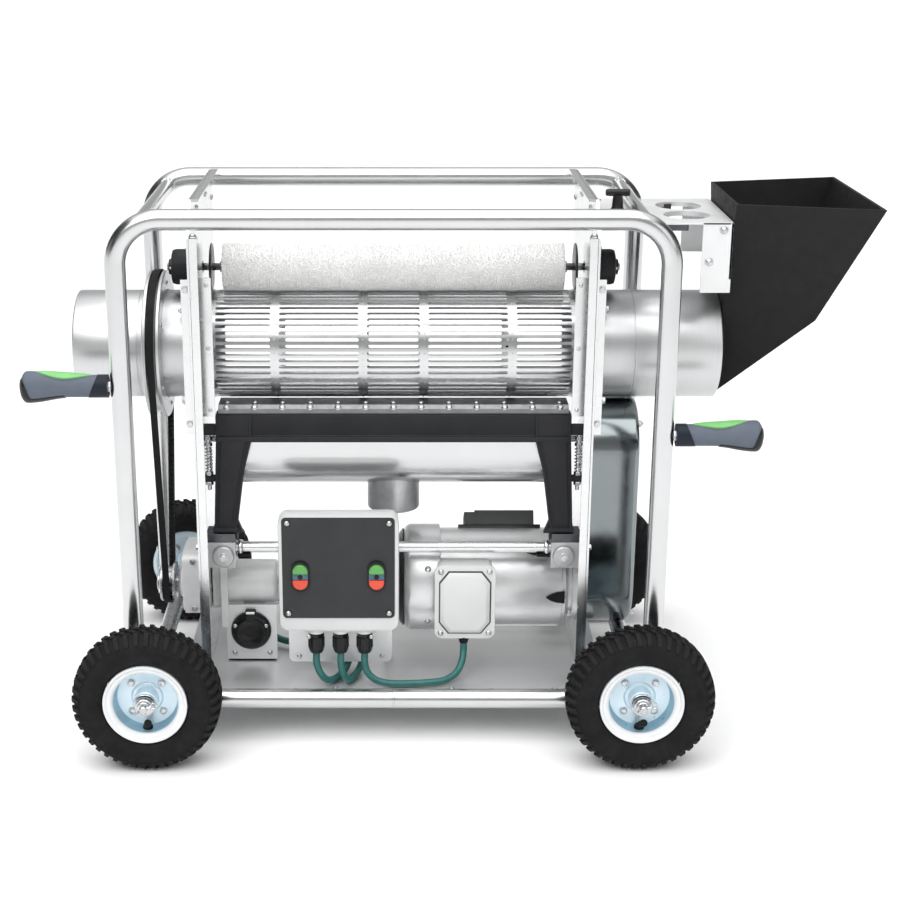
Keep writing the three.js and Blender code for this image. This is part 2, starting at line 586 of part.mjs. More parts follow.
function buildControls() {
  const { left, right, front, back, bottom, top, corner } = BOX;
  const sides = roundedRectangle(left, right, bottom, top, corner);
  add('control_box', prism(sides, 'y', front, back, 4), 'enamel');

  const buttonPlaces = BUTTON.columns.flatMap((x) => BUTTON.rows.map((z) => [x, z]));
  const face = front - GAP;
  let plate = prism(
    roundedRectangle(PANEL.left, PANEL.right, PANEL.bottom, top, 6),
    'y', face - PANEL.thick, face, 3,
  );
  for (const x of BUTTON.columns) {
    const bezel = roundedRectangle(x - 15, x + 15, BUTTON.z - 27.5, BUTTON.z + 27.5, 12);
    plate = plate.add(prism(bezel, 'y', face - PANEL.thick - 4, face, 3));
  }
  const wells = buttonPlaces.map(([x, z]) => bar('y', BUTTON.radius + 0.6, -200, face + 5, [x, 0, z], 10));
  add('control_panel', cut(plate, ...wells), 'panel');
  const cap = [face - PANEL.thick - 7.5, face - BUTTON.travel - 0.4];
  const names = ['tumbler_stop_button', 'tumbler_start_button', 'cutter_stop_button', 'cutter_start_button'];
  buttonPlaces.forEach(([x, z], i) => {
    add(names[i], bar('y', BUTTON.radius - 0.4, ...cap, [x, 0, z], 10), i % 2 ? 'green' : 'red');
  });

  const plateTop = bottom - GAP;
  const sealPlate = box([-136, -28], [GLAND.y - 14, GLAND.y + 12], [plateTop - 3, plateTop]);
  const glands = GLAND.places.map((x) => turned([
    [0, plateTop - 1], [GLAND.radius, plateTop - 1], [GLAND.radius, 132], [8, GLAND.bottom],
    [0, GLAND.bottom],
  ], 'z', [x, GLAND.y, 0], 10));
  add('gland_plate', joined(sealPlate, ...glands), 'plastic');
  const floor = TRAY.top + GAP;
  const shelf = box([-164, -2], [-132, -40], [plateTop - 3, plateTop]);
  const upright = box([-150, -16], [back + GAP, back + 3 + GAP], [plateTop - 3, 228]);
  const apron = box([-164, -2], [-104, -101], [88, plateTop]);
  const legs = [[-164, -150], [-16, -2]].flatMap((width) => [
    box(width, [-43, -40], [floor, plateTop]),
    box(width, [-43, -22], [floor, floor + 3]),
  ]);
  add('control_stand', joined(shelf, upright, apron, ...legs), 'polished');

  const inlet = [INLET.x, 0, INLET.z];
  const mount = box([-266, -186], [INLET.y, INLET.y + 3], [floor, 165]);
  const mountFoot = box([-266, -186], [INLET.y, INLET.y + 12], [floor, floor + 3]);
  const collar = bar('y', INLET.radius, INLET.y - 8, INLET.y + 1, inlet, 18);
  const barrel = bar('y', 20, INLET.y, -30, inlet, 14);
  const well = bar('y', 18, INLET.y - 20, -36, inlet, 14);
  add('inlet_socket', cut(joined(mount, mountFoot, collar, barrel), well), 'plastic');
  const lid = bar('y', 24, INLET.y - 12.5, INLET.y - 8.4, inlet, 16);
  const hinge = box([INLET.x - 7, INLET.x + 7], [INLET.y - 13, INLET.y - 8.4], [INLET.z + 18, INLET.z + 36]);
  add('inlet_cap', joined(lid, hinge), 'plastic');

  add('tumbler_cable', cable(CABLES.tumbler_cable, 30), 'teal');
  add('supply_cable', cable(CABLES.supply_cable, 32), 'teal');
  add('cutter_cable', cable(CABLES.cutter_cable, 22), 'teal');
}

// ---------------------------------------------------------------- infeed and handling

// The hopper's half depth falls towards its tip and grows away from the machine.
const hopperHalfDepth = (x, z) => 103 + 0.235 * (x - HOPPER.left) - 0.288 * (812 - z);

// A convex wedge between an outline in X and Z and its mirrored sides.
function wedge(corners, inset) {
  const points = corners.flatMap(([x, z]) => [-1, 1].map((side) => (
    new THREE.Vector3(x, side * (hopperHalfDepth(x, z) - inset), z)
  )));
  return solid(new ConvexGeometry(points));
}

function hopper() {
  const { left, wall, length } = HOPPER;
  const outside = [[left, 812], [left + length, 812], [627, 635], [left, 503]];
  const inside = [[left + wall, 830], [702, 830], [624, 639], [left + wall, 512]];
  const mouth = [[left - 10, 655], [left + wall + 1, 655], [left + wall + 1, 514], [left - 10, 514]];
  return cut(wedge(outside, 0), wedge(inside, wall), wedge(mouth, wall));
}

function buildInfeed() {
  add('hopper', hopper(), 'plastic');
  const { left, right, halfDepth, top, thick, hole, holeX } = BRACKET;
  const shelf = box([left, right], [-halfDepth, halfDepth], [top - thick, top]);
  const end = box([right - thick, right], [-halfDepth, halfDepth], [702, top]);
  const frontEar = box([449, right], [-halfDepth, -halfDepth + thick], [682, top]);
  const rearEar = box([453, right], [halfDepth - thick, halfDepth], [702, top]);
  const windows = [-40, 40].map((y) => bar('z', hole, top - 10, top + 10, [holeX, y, 0], 20));
  const knobHole = bar('z', KNOB.thread + 0.6, top - 10, top + 10, [KNOB.x, 0, 0], 8);
  const bracket = cut(joined(shelf, end, frontEar, rearEar), ...windows, knobHole);
  add('hopper_bracket', bracket, 'polished');

  const stem = bar('z', KNOB.stem, top + GAP, KNOB.top - 2, [KNOB.x, 0, 0], 14);
  const thread = bar('z', KNOB.thread, top - 22, KNOB.top - 2, [KNOB.x, 0, 0], 8);
  const wings = roundedRectangle(KNOB.x - 18.5, KNOB.x + 18.5, -6.5, 6.5, 5);
  const tee = prism(wings, 'z', KNOB.top - 11.5, KNOB.top, 3);
  add('clamp_knob', joined(stem, thread, tee), 'plastic');
}

function buildHandling() {
  const { from, to, y } = GRIP;
  const profile = [
    [0, from], [14, from], [16.5, from + 8], [16, from + 40], [17, from + 75], [21, to - 24], [21, to - 8],
    [16, to], [0, to],
  ];
  for (const [name, side] of Object.entries(SIDES)) {
    const mirrored = profile.map(([radius, along]) => [radius, side * along]);
    add(`${name}_handle`, turned(mirrored, 'x', [0, y, GRIP[name]], 12), 'grip');
  }

  const { radius, halfWidth, bead, rim, bore, segments } = WHEEL;
  const flat = radius / Math.cos(Math.PI / segments); // a flat facet then touches the floor
  const tread = [
    [bead, -26], [bead + 12, -halfWidth], [flat - 16, -halfWidth + 2], [flat, -14],
    [flat, 14], [flat - 16, halfWidth - 2], [bead + 12, halfWidth], [bead, 26],
  ];
  const dish = [
    [bore, -28], [18, -28], [18, -8], [50, -6], [50, -27], [rim, -27], [rim, 26.5], [50, 26.5],
    [50, 0], [18, -2], [18, 34], [bore, 34],
  ];
  const phase = Math.PI / segments;
  for (const [end, sideY] of [['front', -1], ['rear', 1]]) {
    for (const [name, side] of Object.entries(SIDES)) {
      const place = [side * AXLE.x, sideY * WHEEL.y, AXLE.z];
      const outward = (profile) => profile.map(([reach, along]) => [reach, sideY * along]);
      add(`${end}_${name}_tyre`, turned(outward(tread), 'y', place, segments, phase), 'rubber');
      add(`${end}_${name}_rim`, turned(outward(dish), 'y', place, 16), 'zinc');
    }
  }
}

buildFrame();
add('left_side_plate', sidePlate(-1), 'polished');
add('right_side_plate', sidePlate(1), 'polished');
buildTumbler();
buildBrush();
buildCutter();
buildControls();
buildInfeed();
buildHandling();

// The origin stands on the floor, under the middle of the machine's length.
machine.position.x = -(HOPPER.left + HOPPER.length - GRIP.to) / 2;

export default machine;
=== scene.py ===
# A wheeled drum trimmer: the fine surfaces of every part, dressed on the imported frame.
# Shapes are drawn in millimetres with X = 0 at the middle of the tube frame, then laid in the row frame.
import math
import random
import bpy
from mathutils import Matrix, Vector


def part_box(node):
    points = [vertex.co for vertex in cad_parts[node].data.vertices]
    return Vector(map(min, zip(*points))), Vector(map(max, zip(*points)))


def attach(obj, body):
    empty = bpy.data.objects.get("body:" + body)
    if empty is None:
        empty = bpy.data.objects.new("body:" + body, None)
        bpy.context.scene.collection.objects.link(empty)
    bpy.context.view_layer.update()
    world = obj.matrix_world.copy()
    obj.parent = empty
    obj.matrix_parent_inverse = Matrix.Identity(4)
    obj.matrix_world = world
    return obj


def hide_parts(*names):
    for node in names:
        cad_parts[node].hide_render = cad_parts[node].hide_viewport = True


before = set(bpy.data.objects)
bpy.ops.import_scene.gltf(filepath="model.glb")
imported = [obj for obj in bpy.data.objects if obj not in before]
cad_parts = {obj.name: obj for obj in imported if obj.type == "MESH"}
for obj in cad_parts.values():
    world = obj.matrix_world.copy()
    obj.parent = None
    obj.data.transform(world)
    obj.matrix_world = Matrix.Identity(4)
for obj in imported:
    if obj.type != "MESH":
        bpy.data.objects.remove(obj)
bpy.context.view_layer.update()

from types import SimpleNamespace

import bmesh
import bpy
from mathutils import Vector
from mathutils.geometry import tessellate_polygon

MM = 0.001
SIDES = {"left": -1, "right": 1}
ROOT = "machine_frame"
loop_low, loop_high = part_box("front_frame_loop")
MIDDLE = (loop_low.x + loop_high.x) / 2


def at(node):
    """A node's box in millimetres, as x0, x1, x (its middle), and the same for y and z."""
    low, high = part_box(node)
    spans = {
        "x": ((low.x - MIDDLE) / MM, (high.x - MIDDLE) / MM),
        "y": (low.y / MM, high.y / MM),
        "z": (low.z / MM, high.z / MM),
    }
    box = {}
    for letter, (start, end) in spans.items():
        box[letter + "0"] = start
        box[letter + "1"] = end
        box[letter] = (start + end) / 2
    return SimpleNamespace(**box)


def metres(point):
    return Vector((point[0] * MM + MIDDLE, point[1] * MM, point[2] * MM))


# ---------------------------------------------------------------- camera

CAMERA = SimpleNamespace(lens=66.64, pitch=18.3, place=(0, -2495, 1230.3), shift=0.0628)

camera_data = bpy.data.cameras.new("camera")
camera_data.lens = CAMERA.lens
camera_data.sensor_width = 36
camera_data.shift_x = CAMERA.shift
camera = bpy.data.objects.new("camera", camera_data)
camera.location = metres(CAMERA.place)
camera.rotation_euler = (math.radians(90 - CAMERA.pitch), 0, 0)
bpy.context.scene.collection.objects.link(camera)
bpy.context.scene.camera = camera

# ---------------------------------------------------------------- outlines

BASES = {
    "x": (Vector((1, 0, 0)), Vector((0, 1, 0)), Vector((0, 0, 1))),
    "y": (Vector((0, 1, 0)), Vector((1, 0, 0)), Vector((0, 0, 1))),
    "z": (Vector((0, 0, 1)), Vector((1, 0, 0)), Vector((0, 1, 0))),
}


def basis(axis):
    """The direction along an axis, given by letter or vector, and two directions across it."""
    if axis in ("x", "y", "z"):
        return BASES[axis]
    along = Vector(axis).normalized()
    across = along.orthogonal().normalized()
    return along, across, along.cross(across)


def arc(a, b, radius, start, end, steps=8):
    """Points on an arc from one angle to another, in degrees, both ends included."""
    turns = [math.radians(start + (end - start) * i / steps) for i in range(steps + 1)]
    return [(a + radius * math.cos(t), b + radius * math.sin(t)) for t in turns]


def circle(a, b, radius, steps=40):
    return arc(a, b, radius, 0, 360, steps)[:-1]


def rounded(a0, a1, b0, b1, radius, steps=5):
    """A rectangle with round corners."""
    return (
        arc(a1 - radius, b1 - radius, radius, 0, 90, steps)
        + arc(a0 + radius, b1 - radius, radius, 90, 180, steps)
        + arc(a0 + radius, b0 + radius, radius, 180, 270, steps)
        + arc(a1 - radius, b0 + radius, radius, 270, 360, steps)
    )


def obround(a, low, high, radius):
    """Two half circles at different heights, joined by straight sides."""
    return arc(a, high, radius, 0, 180, 24) + arc(a, low, radius, 180, 360, 24)


def spoke(centre, radius, degrees, axis="x"):
    """A point on a circle across the X or the Y axis."""
    x, y, z = centre
    a, b = radius * math.cos(math.radians(degrees)), radius * math.sin(math.radians(degrees))
    return (x, y + a, z + b) if axis == "x" else (x + a, y, z + b)


def outward(degrees):
    """The direction away from the middle of a circle across the X axis."""
    return spoke((0, 0, 0), 1, degrees)


def facing(outline, y):
    """An outline of (x, z) pairs as a ring of points at one depth."""
    return [(x, y, z) for x, z in outline]


def smooth_path(points):
    """A centripetal Catmull-Rom curve through given points."""
    steps = 6
    places = [Vector(p) for p in points]
    places = [places[0] * 2 - places[1], *places, places[-1] * 2 - places[-2]]
    path = []
    for p0, p1, p2, p3 in zip(places, places[1:], places[2:], places[3:]):
        d0, d1, d2 = [max((b - a).length, 1e-6) ** 0.5 for a, b in ((p0, p1), (p1, p2), (p2, p3))]
        leave = ((p1 - p0) / d0 - (p2 - p0) / (d0 + d1) + (p2 - p1) / d1) * d1
        arrive = ((p2 - p1) / d1 - (p3 - p1) / (d1 + d2) + (p3 - p2) / d2) * d1
        for i in range(steps):
            t = i / steps
            path.append(
                p1 * (2 * t**3 - 3 * t**2 + 1) + leave * (t**3 - 2 * t**2 + t)
                + p2 * (3 * t**2 - 2 * t**3) + arrive * (t**3 - t**2)
            )
    return [*path, places[-2]]


# ---------------------------------------------------------------- shapes


class Shape:
    """Closed surfaces in millimetres; each face has the number of its material."""

    def __init__(self):
        self.points = []
        self.faces = []
        self.paints = []

    def add(self, points, faces, paint=0):
        first = len(self.points)
        self.points += [tuple(p) for p in points]
        self.faces += [[first + i for i in face] for face in faces]
        self.paints += [paint] * len(faces)

    def loft(self, rings, paint=0, closed=False):
        """A skin over rings of points. A ring of one point is a pole, and open ends get flat caps."""
        points = []
        starts = []
        for ring in rings:
            starts.append(len(points))
            points += ring
        faces = []
        pairs = [(i, i + 1) for i in range(len(rings) - 1)]
        if closed:
            pairs.append((len(rings) - 1, 0))
        for a, b in pairs:
            count = max(len(rings[a]), len(rings[b]))
            for i in range(count):
                j = (i + 1) % count
                face = [starts[a] + i, starts[a] + j, starts[b] + j, starts[b] + i]
                if len(rings[a]) == 1:
                    face = [starts[a], starts[b] + j, starts[b] + i]
                elif len(rings[b]) == 1:
                    face = [starts[a] + i, starts[a] + j, starts[b]]
                faces.append(face)
        if not closed:
            for start, ring in ((starts[0], rings[0]), (starts[-1], rings[-1])):
                if len(ring) > 2:
                    faces.append(list(range(start, start + len(ring))))
        self.add(points, faces, paint)

    def turned(self, profile, place, axis="x", segments=48, paint=0, closed=False):
        """A lathe form. The profile lists (radius, distance along the axis)."""
        along, across, other = basis(axis)
        place = Vector(place)
        rings = []
        for radius, distance in profile:
            centre = place + along * distance
            if radius < 1e-6:
                rings.append([centre])
                continue
            turns = [2 * math.pi * i / segments for i in range(segments)]
            rings.append([centre + (across * math.cos(t) + other * math.sin(t)) * radius for t in turns])
        self.loft(rings, paint, closed)

    def rod(self, place, axis, radius, start, end, segments=24, paint=0, chamfer=0.5):
        c = min(chamfer, radius / 2, abs(end - start) / 3)
        sign = 1 if end > start else -1
        self.turned(
            [(0, start), (radius - c, start), (radius, start + sign * c), (radius, end - sign * c),
             (radius - c, end), (0, end)],
            place, axis, segments, paint,
        )

    def tube(self, path, radius, sides=20, paint=0, closed=False):
        """A round tube along a path; the radius is one number or one for each point."""
        places = [Vector(p) for p in path]
        last = len(places) - 1
        side = None
        rings = []
        for i, place in enumerate(places):
            before = places[i - 1] if closed or i > 0 else place
            after = places[(i + 1) % len(places)] if closed or i < last else place
            forward = (after - before).normalized()
            if side is None:
                side = forward.orthogonal().normalized()
            side = (side - forward * side.dot(forward)).normalized()
            other = forward.cross(side)
            reach = radius[i] if isinstance(radius, list) else radius
            turns = [2 * math.pi * k / sides for k in range(sides)]
            rings.append([place + (side * math.cos(t) + other * math.sin(t)) * reach for t in turns])
        self.loft(rings, paint, closed)

    def prism(self, outline, axis, start, end, holes=(), paint=0):
        """A straight extrusion. The outline is (y, z) for x, (x, z) for y and (x, y) for z."""
        along, across, other = basis(axis)
        loops = [list(outline), *[list(hole) for hole in holes]]
        flat = [p for loop in loops for p in loop]
        caps = [list(range(len(flat)))]
        if holes:
            triangles = tessellate_polygon([[Vector((a, b, 0)) for a, b in loop] for loop in loops])
            caps = [list(triangle) for triangle in triangles]
        count = len(flat)
        points = [across * a + other * b + along * distance for distance in (start, end) for a, b in flat]
        faces = caps + [[i + count for i in reversed(cap)] for cap in caps]
        first = 0
        for loop in loops:
            size = len(loop)
            for i in range(size):
                a, b = first + i, first + (i + 1) % size
                faces.append([a, b, b + count, a + count])
            first += size
        self.add(points, faces, paint)

    def box(self, xs, ys, zs, paint=0):
        corners = [(xs[0], ys[0]), (xs[1], ys[0]), (xs[1], ys[1]), (xs[0], ys[1])]
        self.prism(corners, "z", *zs, paint=paint)

    # -------- fasteners: each stands on a face at a place, and points along an axis

    def washer(self, place, axis, radius, height, paint=0, bore=0.0):
        c = height * 0.3
        profile = [(radius - c, 0), (radius, c), (radius, height - c), (radius - c, height)]
        if bore:
            self.turned([(bore, 0), *profile, (bore, height)], place, axis, 32, paint, closed=True)
        else:
            self.turned([(0, 0), *profile, (0, height)], place, axis, 32, paint)

    def hexagon(self, place, axis, radius, start, end, paint=0):
        self.turned(
            [(0, start), (radius, start), (radius, end - 0.12 * radius), (radius * 0.88, end), (0, end)],
            place, axis, 6, paint,
        )

    def hex_bolt(self, place, axis, radius, paint=0):
        """A hexagon head on its washer."""
        base = radius * 0.22
        self.washer(place, axis, radius * 1.35, base, paint)
        self.hexagon(place, axis, radius, base, base + radius * 0.75, paint)

    def pan_screw(self, place, axis, radius, paint=0):
        """A domed head with a round socket."""
        r = radius
        profile = [(0, 0), (r, 0), (r, 0.18 * r)]
        profile += [(r * math.cos(t), 0.18 * r + 0.5 * r * math.sin(t)) for t in (0.35, 0.7, 1.05)]
        profile += [(0.42 * r, 0.66 * r), (0.36 * r, 0.3 * r), (0, 0.26 * r)]
        self.turned(profile, place, axis, 24, paint)

    def acorn_nut(self, place, axis, radius, paint=0):
        self.hexagon(place, axis, radius, 0, radius * 0.75, paint)
        dome = [(radius * 0.8 * math.cos(t), radius * 0.7 + radius * 0.75 * math.sin(t))
                for t in (0, 0.3, 0.6, 0.9, 1.2)]
        self.turned([(0, radius * 0.6), *dome, (0, radius * 1.45)], place, axis, 24, paint)

    def spring(self, place, axis, radius, start, end, turns, wire, paint=0):
        along, across, other = basis(axis)
        around = 14
        steps = turns * around
        path = []
        for i in range(steps + 1):
            t = 2 * math.pi * i / around
            path.append(
                Vector(place) + along * (start + (end - start) * i / steps)
                + (across * math.cos(t) + other * math.sin(t)) * radius
            )
        self.tube(path, wire, 8, paint)


# ---------------------------------------------------------------- materials

PAINT = {}


def paint(
    name, colour, roughness, metallic=0.0, *, spread=0.06, size=18.0, stretch=(1, 1, 1), rough_spread=0.08,
    bump=0.0, grain=900.0, wear=0.0, wear_colour=(0.5, 0.5, 0.5), coat=0.0, specular=0.5, speck=0.0,
):
    """A procedural finish: mottled colour, uneven gloss, a fine grain, and worn edges where asked."""
    material = bpy.data.materials.new(name)
    material.use_nodes = True
    nodes, links = material.node_tree.nodes, material.node_tree.links
    shader = nodes["Principled BSDF"]
    shader.inputs["Metallic"].default_value = metallic
    shader.inputs["Specular IOR Level"].default_value = specular
    shader.inputs["Coat Weight"].default_value = coat
    shader.inputs["Coat Roughness"].default_value = 0.08
    coordinates = nodes.new("ShaderNodeTexCoord")
    mapping = nodes.new("ShaderNodeMapping")
    mapping.inputs["Scale"].default_value = stretch
    links.new(coordinates.outputs["Object"], mapping.inputs["Vector"])

    def noise(scale, detail, vector):
        node = nodes.new("ShaderNodeTexNoise")
        node.inputs["Scale"].default_value = scale
        node.inputs["Detail"].default_value = detail
        links.new(vector, node.inputs["Vector"])
        return node.outputs["Fac"]

    def ramp(value, low, high, first, second):
        node = nodes.new("ShaderNodeValToRGB")
        node.color_ramp.elements[0].position = low
        node.color_ramp.elements[1].position = high
        node.color_ramp.elements[0].color = (*first, 1)
        node.color_ramp.elements[1].color = (*second, 1)
        links.new(value, node.inputs["Fac"])
        return node.outputs["Color"]

    mottle = noise(size, 6, mapping.outputs["Vector"])
    dark = [c * (1 - spread) for c in colour]
    light = [min(1.0, c * (1 + spread)) for c in colour]
    shown = ramp(mottle, 0.3, 0.7, dark, light)
    fine = noise(grain, 3, mapping.outputs["Vector"])
    if speck:
        mix = nodes.new("ShaderNodeMix")
        mix.data_type = "RGBA"
        links.new(ramp(fine, 0.56, 0.72, (0, 0, 0), (speck, speck, speck)), mix.inputs["Factor"])
        links.new(shown, mix.inputs["A"])
        mix.inputs["B"].default_value = (*[min(1, 3 * c + 0.05) for c in colour], 1)
        shown = mix.outputs["Result"]
    if wear:
        geometry = nodes.new("ShaderNodeNewGeometry")
        mix = nodes.new("ShaderNodeMix")
        mix.data_type = "RGBA"
        edge = ramp(geometry.outputs["Pointiness"], 0.52, 0.6, (0, 0, 0), (wear, wear, wear))
        links.new(edge, mix.inputs["Factor"])
        links.new(shown, mix.inputs["A"])
        mix.inputs["B"].default_value = (*wear_colour, 1)
        shown = mix.outputs["Result"]
    links.new(shown, shader.inputs["Base Color"])
    gloss = nodes.new("ShaderNodeMapRange")
    gloss.inputs["From Min"].default_value = 0.3
    gloss.inputs["From Max"].default_value = 0.7
    gloss.inputs["To Min"].default_value = max(0.02, roughness - rough_spread)
    gloss.inputs["To Max"].default_value = min(1.0, roughness + rough_spread)
    links.new(noise(size * 2.3, 4, mapping.outputs["Vector"]), gloss.inputs["Value"])
    links.new(gloss.outputs["Result"], shader.inputs["Roughness"])
    if bump:
        relief = nodes.new("ShaderNodeBump")
        relief.inputs["Strength"].default_value = 1.0
        relief.inputs["Distance"].default_value = bump * MM
        links.new(fine, relief.inputs["Height"])
        links.new(relief.outputs["Normal"], shader.inputs["Normal"])
    PAINT[name] = material


paint("polished", (0.62, 0.625, 0.63), 0.22, 1.0, spread=0.02, rough_spread=0.03)
paint("sheet", (0.72, 0.725, 0.73), 0.26, 1.0, spread=0.02, rough_spread=0.03)
paint("guard", (0.22, 0.245, 0.25), 0.15, 1.0, spread=0.04, rough_spread=0.03)
paint("clamp", (0.52, 0.525, 0.53), 0.42, 0.85, spread=0.08, size=90, bump=0.01, grain=900)
paint("light_casting", (0.78, 0.785, 0.785), 0.42, 0.2, spread=0.04, size=60, bump=0.012, grain=900)
paint("pale_sheet", (0.78, 0.785, 0.79), 0.42, 0.55, spread=0.03, rough_spread=0.05, bump=0.008, grain=300)
paint("motor_shell", (0.74, 0.745, 0.75), 0.36, 0.75, spread=0.04, rough_spread=0.05, bump=0.01, grain=300)
paint("brushed", (0.60, 0.605, 0.61), 0.36, 0.95, spread=0.02, size=3, stretch=(160, 3, 3), rough_spread=0.02,
      bump=0.003, grain=4)
paint("deck", (0.70, 0.705, 0.71), 0.36, 0.7, spread=0.05, size=3, stretch=(0.4, 6, 1), bump=0.006, grain=300)
paint("zinc", (0.70, 0.83, 0.90), 0.34, 0.35, spread=0.05, size=30, rough_spread=0.08, bump=0.01, grain=500)
# the rim's zinc darkened for its barrel is painted shade in the recess, and the paler zinc for its lip is a
# painted highlight
paint("zinc_barrel_painted_shade", (0.34, 0.52, 0.62), 0.34, 0.45, spread=0.12, size=30, bump=0.01, grain=500)
paint("zinc_lip_painted_highlight", (0.78, 0.79, 0.80), 0.45, 0.1, spread=0.03, size=30, bump=0.008, grain=500)
paint("steel", (0.50, 0.51, 0.52), 0.30, 1.0, spread=0.08, size=60, bump=0.002, grain=700)
paint("knife", (0.20, 0.203, 0.207), 0.36, 1.0, spread=0.12, size=60, bump=0.006, grain=700)
paint("bolt", (0.60, 0.61, 0.62), 0.30, 1.0, spread=0.08, size=90, bump=0.002, grain=800)
paint("casting", (0.012, 0.0125, 0.014), 0.5, 0.0, spread=0.2, bump=0.06, grain=900, speck=0.05,
      wear=0.3, wear_colour=(0.06, 0.06, 0.065), specular=0.22)
paint("plastic", (0.0075, 0.0075, 0.008), 0.6, 0.0, spread=0.22, size=30, bump=0.09, grain=1300, speck=0.25,
      wear=0.35, wear_colour=(0.05, 0.05, 0.05), specular=0.16)
paint("trim", (0.006, 0.006, 0.007), 0.36, 0.0, spread=0.2, bump=0.015, grain=900, coat=0.1, specular=0.3)
paint("rubber", (0.009, 0.009, 0.010), 0.65, 0.0, spread=0.2, bump=0.03, grain=1100, specular=0.2)
paint("tyre", (0.0105, 0.0105, 0.011), 0.78, 0.0, spread=0.25, size=40, rough_spread=0.1, bump=0.04,
      grain=1300, speck=0.06, wear=0.2, wear_colour=(0.035, 0.035, 0.035), specular=0.16)
paint("bristle", (0.88, 0.88, 0.875), 0.8, 0.0, spread=0.08, size=120, bump=0.02, grain=1500)
paint("core", (0.74, 0.74, 0.735), 0.7, 0.0, spread=0.08, bump=0.02)
paint("enamel", (0.66, 0.67, 0.665), 0.38, 0.0, spread=0.03, bump=0.012, grain=700, coat=0.25)
paint("panel", (0.034, 0.035, 0.038), 0.55, 0.0, spread=0.08, bump=0.02, grain=1600, speck=0.1, specular=0.25)
paint("teal", (0.020, 0.135, 0.125), 0.42, 0.0, spread=0.12, size=90, bump=0.02, grain=1200, coat=0.1)
paint("green", (0.090, 0.34, 0.075), 0.3, 0.0, spread=0.06, bump=0.008, coat=0.3)
paint("red", (0.70, 0.060, 0.020), 0.3, 0.0, spread=0.06, bump=0.008, coat=0.3)
paint("lens", (0.018, 0.105, 0.17), 0.2, 0.0, spread=0.25, size=160, bump=0.01, coat=0.4)
paint("grip", (0.110, 0.130, 0.165), 0.62, 0.0, spread=0.07, size=50, bump=0.04, grain=1100, speck=0.05,
      specular=0.3)
paint("grip_green", (0.19, 0.50, 0.17), 0.55, 0.0, spread=0.06, size=50, bump=0.03, grain=1100)
paint("navy", (0.008, 0.012, 0.022), 0.5, 0.0, spread=0.15, bump=0.03, grain=1000, specular=0.25)
paint("dark_steel", (0.10, 0.104, 0.112), 0.32, 1.0, spread=0.12, bump=0.01, grain=700)
paint("cover", (0.085, 0.086, 0.088), 0.5, 0.0, spread=0.1, bump=0.02, grain=900, specular=0.3)
paint("floor", (0.93, 0.93, 0.93), 0.75, 0.0, spread=0.01, size=3, rough_spread=0.05)


def piece(name, shape, paints, body=ROOT, replaces=(), bevel=0.0, crease=34):
    """Makes one object of a shape, in metres in the row frame, riding on its body."""
    mesh = bpy.data.meshes.new(name)
    mesh.from_pydata([metres(p) for p in shape.points], [], shape.faces)
    for entry in paints:
        mesh.materials.append(PAINT[entry])
    mesh.polygons.foreach_set("material_index", shape.paints)
    work = bmesh.new()
    work.from_mesh(mesh)
    bmesh.ops.recalc_face_normals(work, faces=work.faces)
    work.to_mesh(mesh)
    work.free()
    mesh.polygons.foreach_set("use_smooth", [True] * len(mesh.polygons))
    mesh.set_sharp_from_angle(angle=math.radians(crease))
    made = bpy.data.objects.new(name, mesh)
    bpy.context.scene.collection.objects.link(made)
    if bevel:
        edge = made.modifiers.new("edge", "BEVEL")
        edge.width = bevel * MM
        edge.segments = 2
        edge.limit_method = "ANGLE"
        edge.angle_limit = math.radians(50)
        edge.harden_normals = True
    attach(made, body)
    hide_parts(*replaces)
    return made


# ---------------------------------------------------------------- cords

CABLE_DIAMETER = 11
ROUTES = {
    "tumbler_cable": [
        (-119, -145, 123.7), (-119, -146, 106), (-113, -150, 90), (-103, -148, 78), (-92, -138, 75),
        (-82, -120, 75.5), (-74, -102, 79), (-69, -86, 92), (-70, -76, 112), (-78, -68, 132),
        (-92, -60, 141), (-110, -48, 146), (-130, -31, 154), (-145, -20, 167), (-156, -18, 182),
        (-170, -18, 189.6), (-183.7, -18, 190),
    ],
    "supply_cable": [
        (-81.5, -145, 123.7), (-81.5, -146, 106), (-78, -150, 89), (-71, -146, 77), (-63, -130, 75),
        (-56, -112, 76), (-51, -95, 82), (-52, -78, 94), (-64, -62, 102), (-84, -49, 103),
        (-112, -36, 94), (-146, -22, 84), (-180, -4, 79), (-206, 14, 86), (-220, 22, 104),
        (-226, 12, 119), (-227, -8, 122), (-227, -29.7, 122),
    ],
    "cutter_cable": [
        (-44.5, -145, 123.7), (-44.5, -146, 106), (-40, -149, 91), (-28, -152, 80), (-8, -154, 75),
        (20, -154, 74.5), (50, -152, 75), (78, -146, 76), (97, -133, 82), (107, -117, 94),
        (110, -105, 108), (110, -104, 121.7),
    ],
}


def build_cords():
    for node, points in ROUTES.items():
        path = smooth_path(points)
        shape = Shape()
        shape.tube(path, CABLE_DIAMETER / 2, 24)
        made = piece(node + "_sheath", shape, ["teal"], replaces=[node])
        [metres(p) for p in path]


build_cords()

# ---------------------------------------------------------------- floor and light


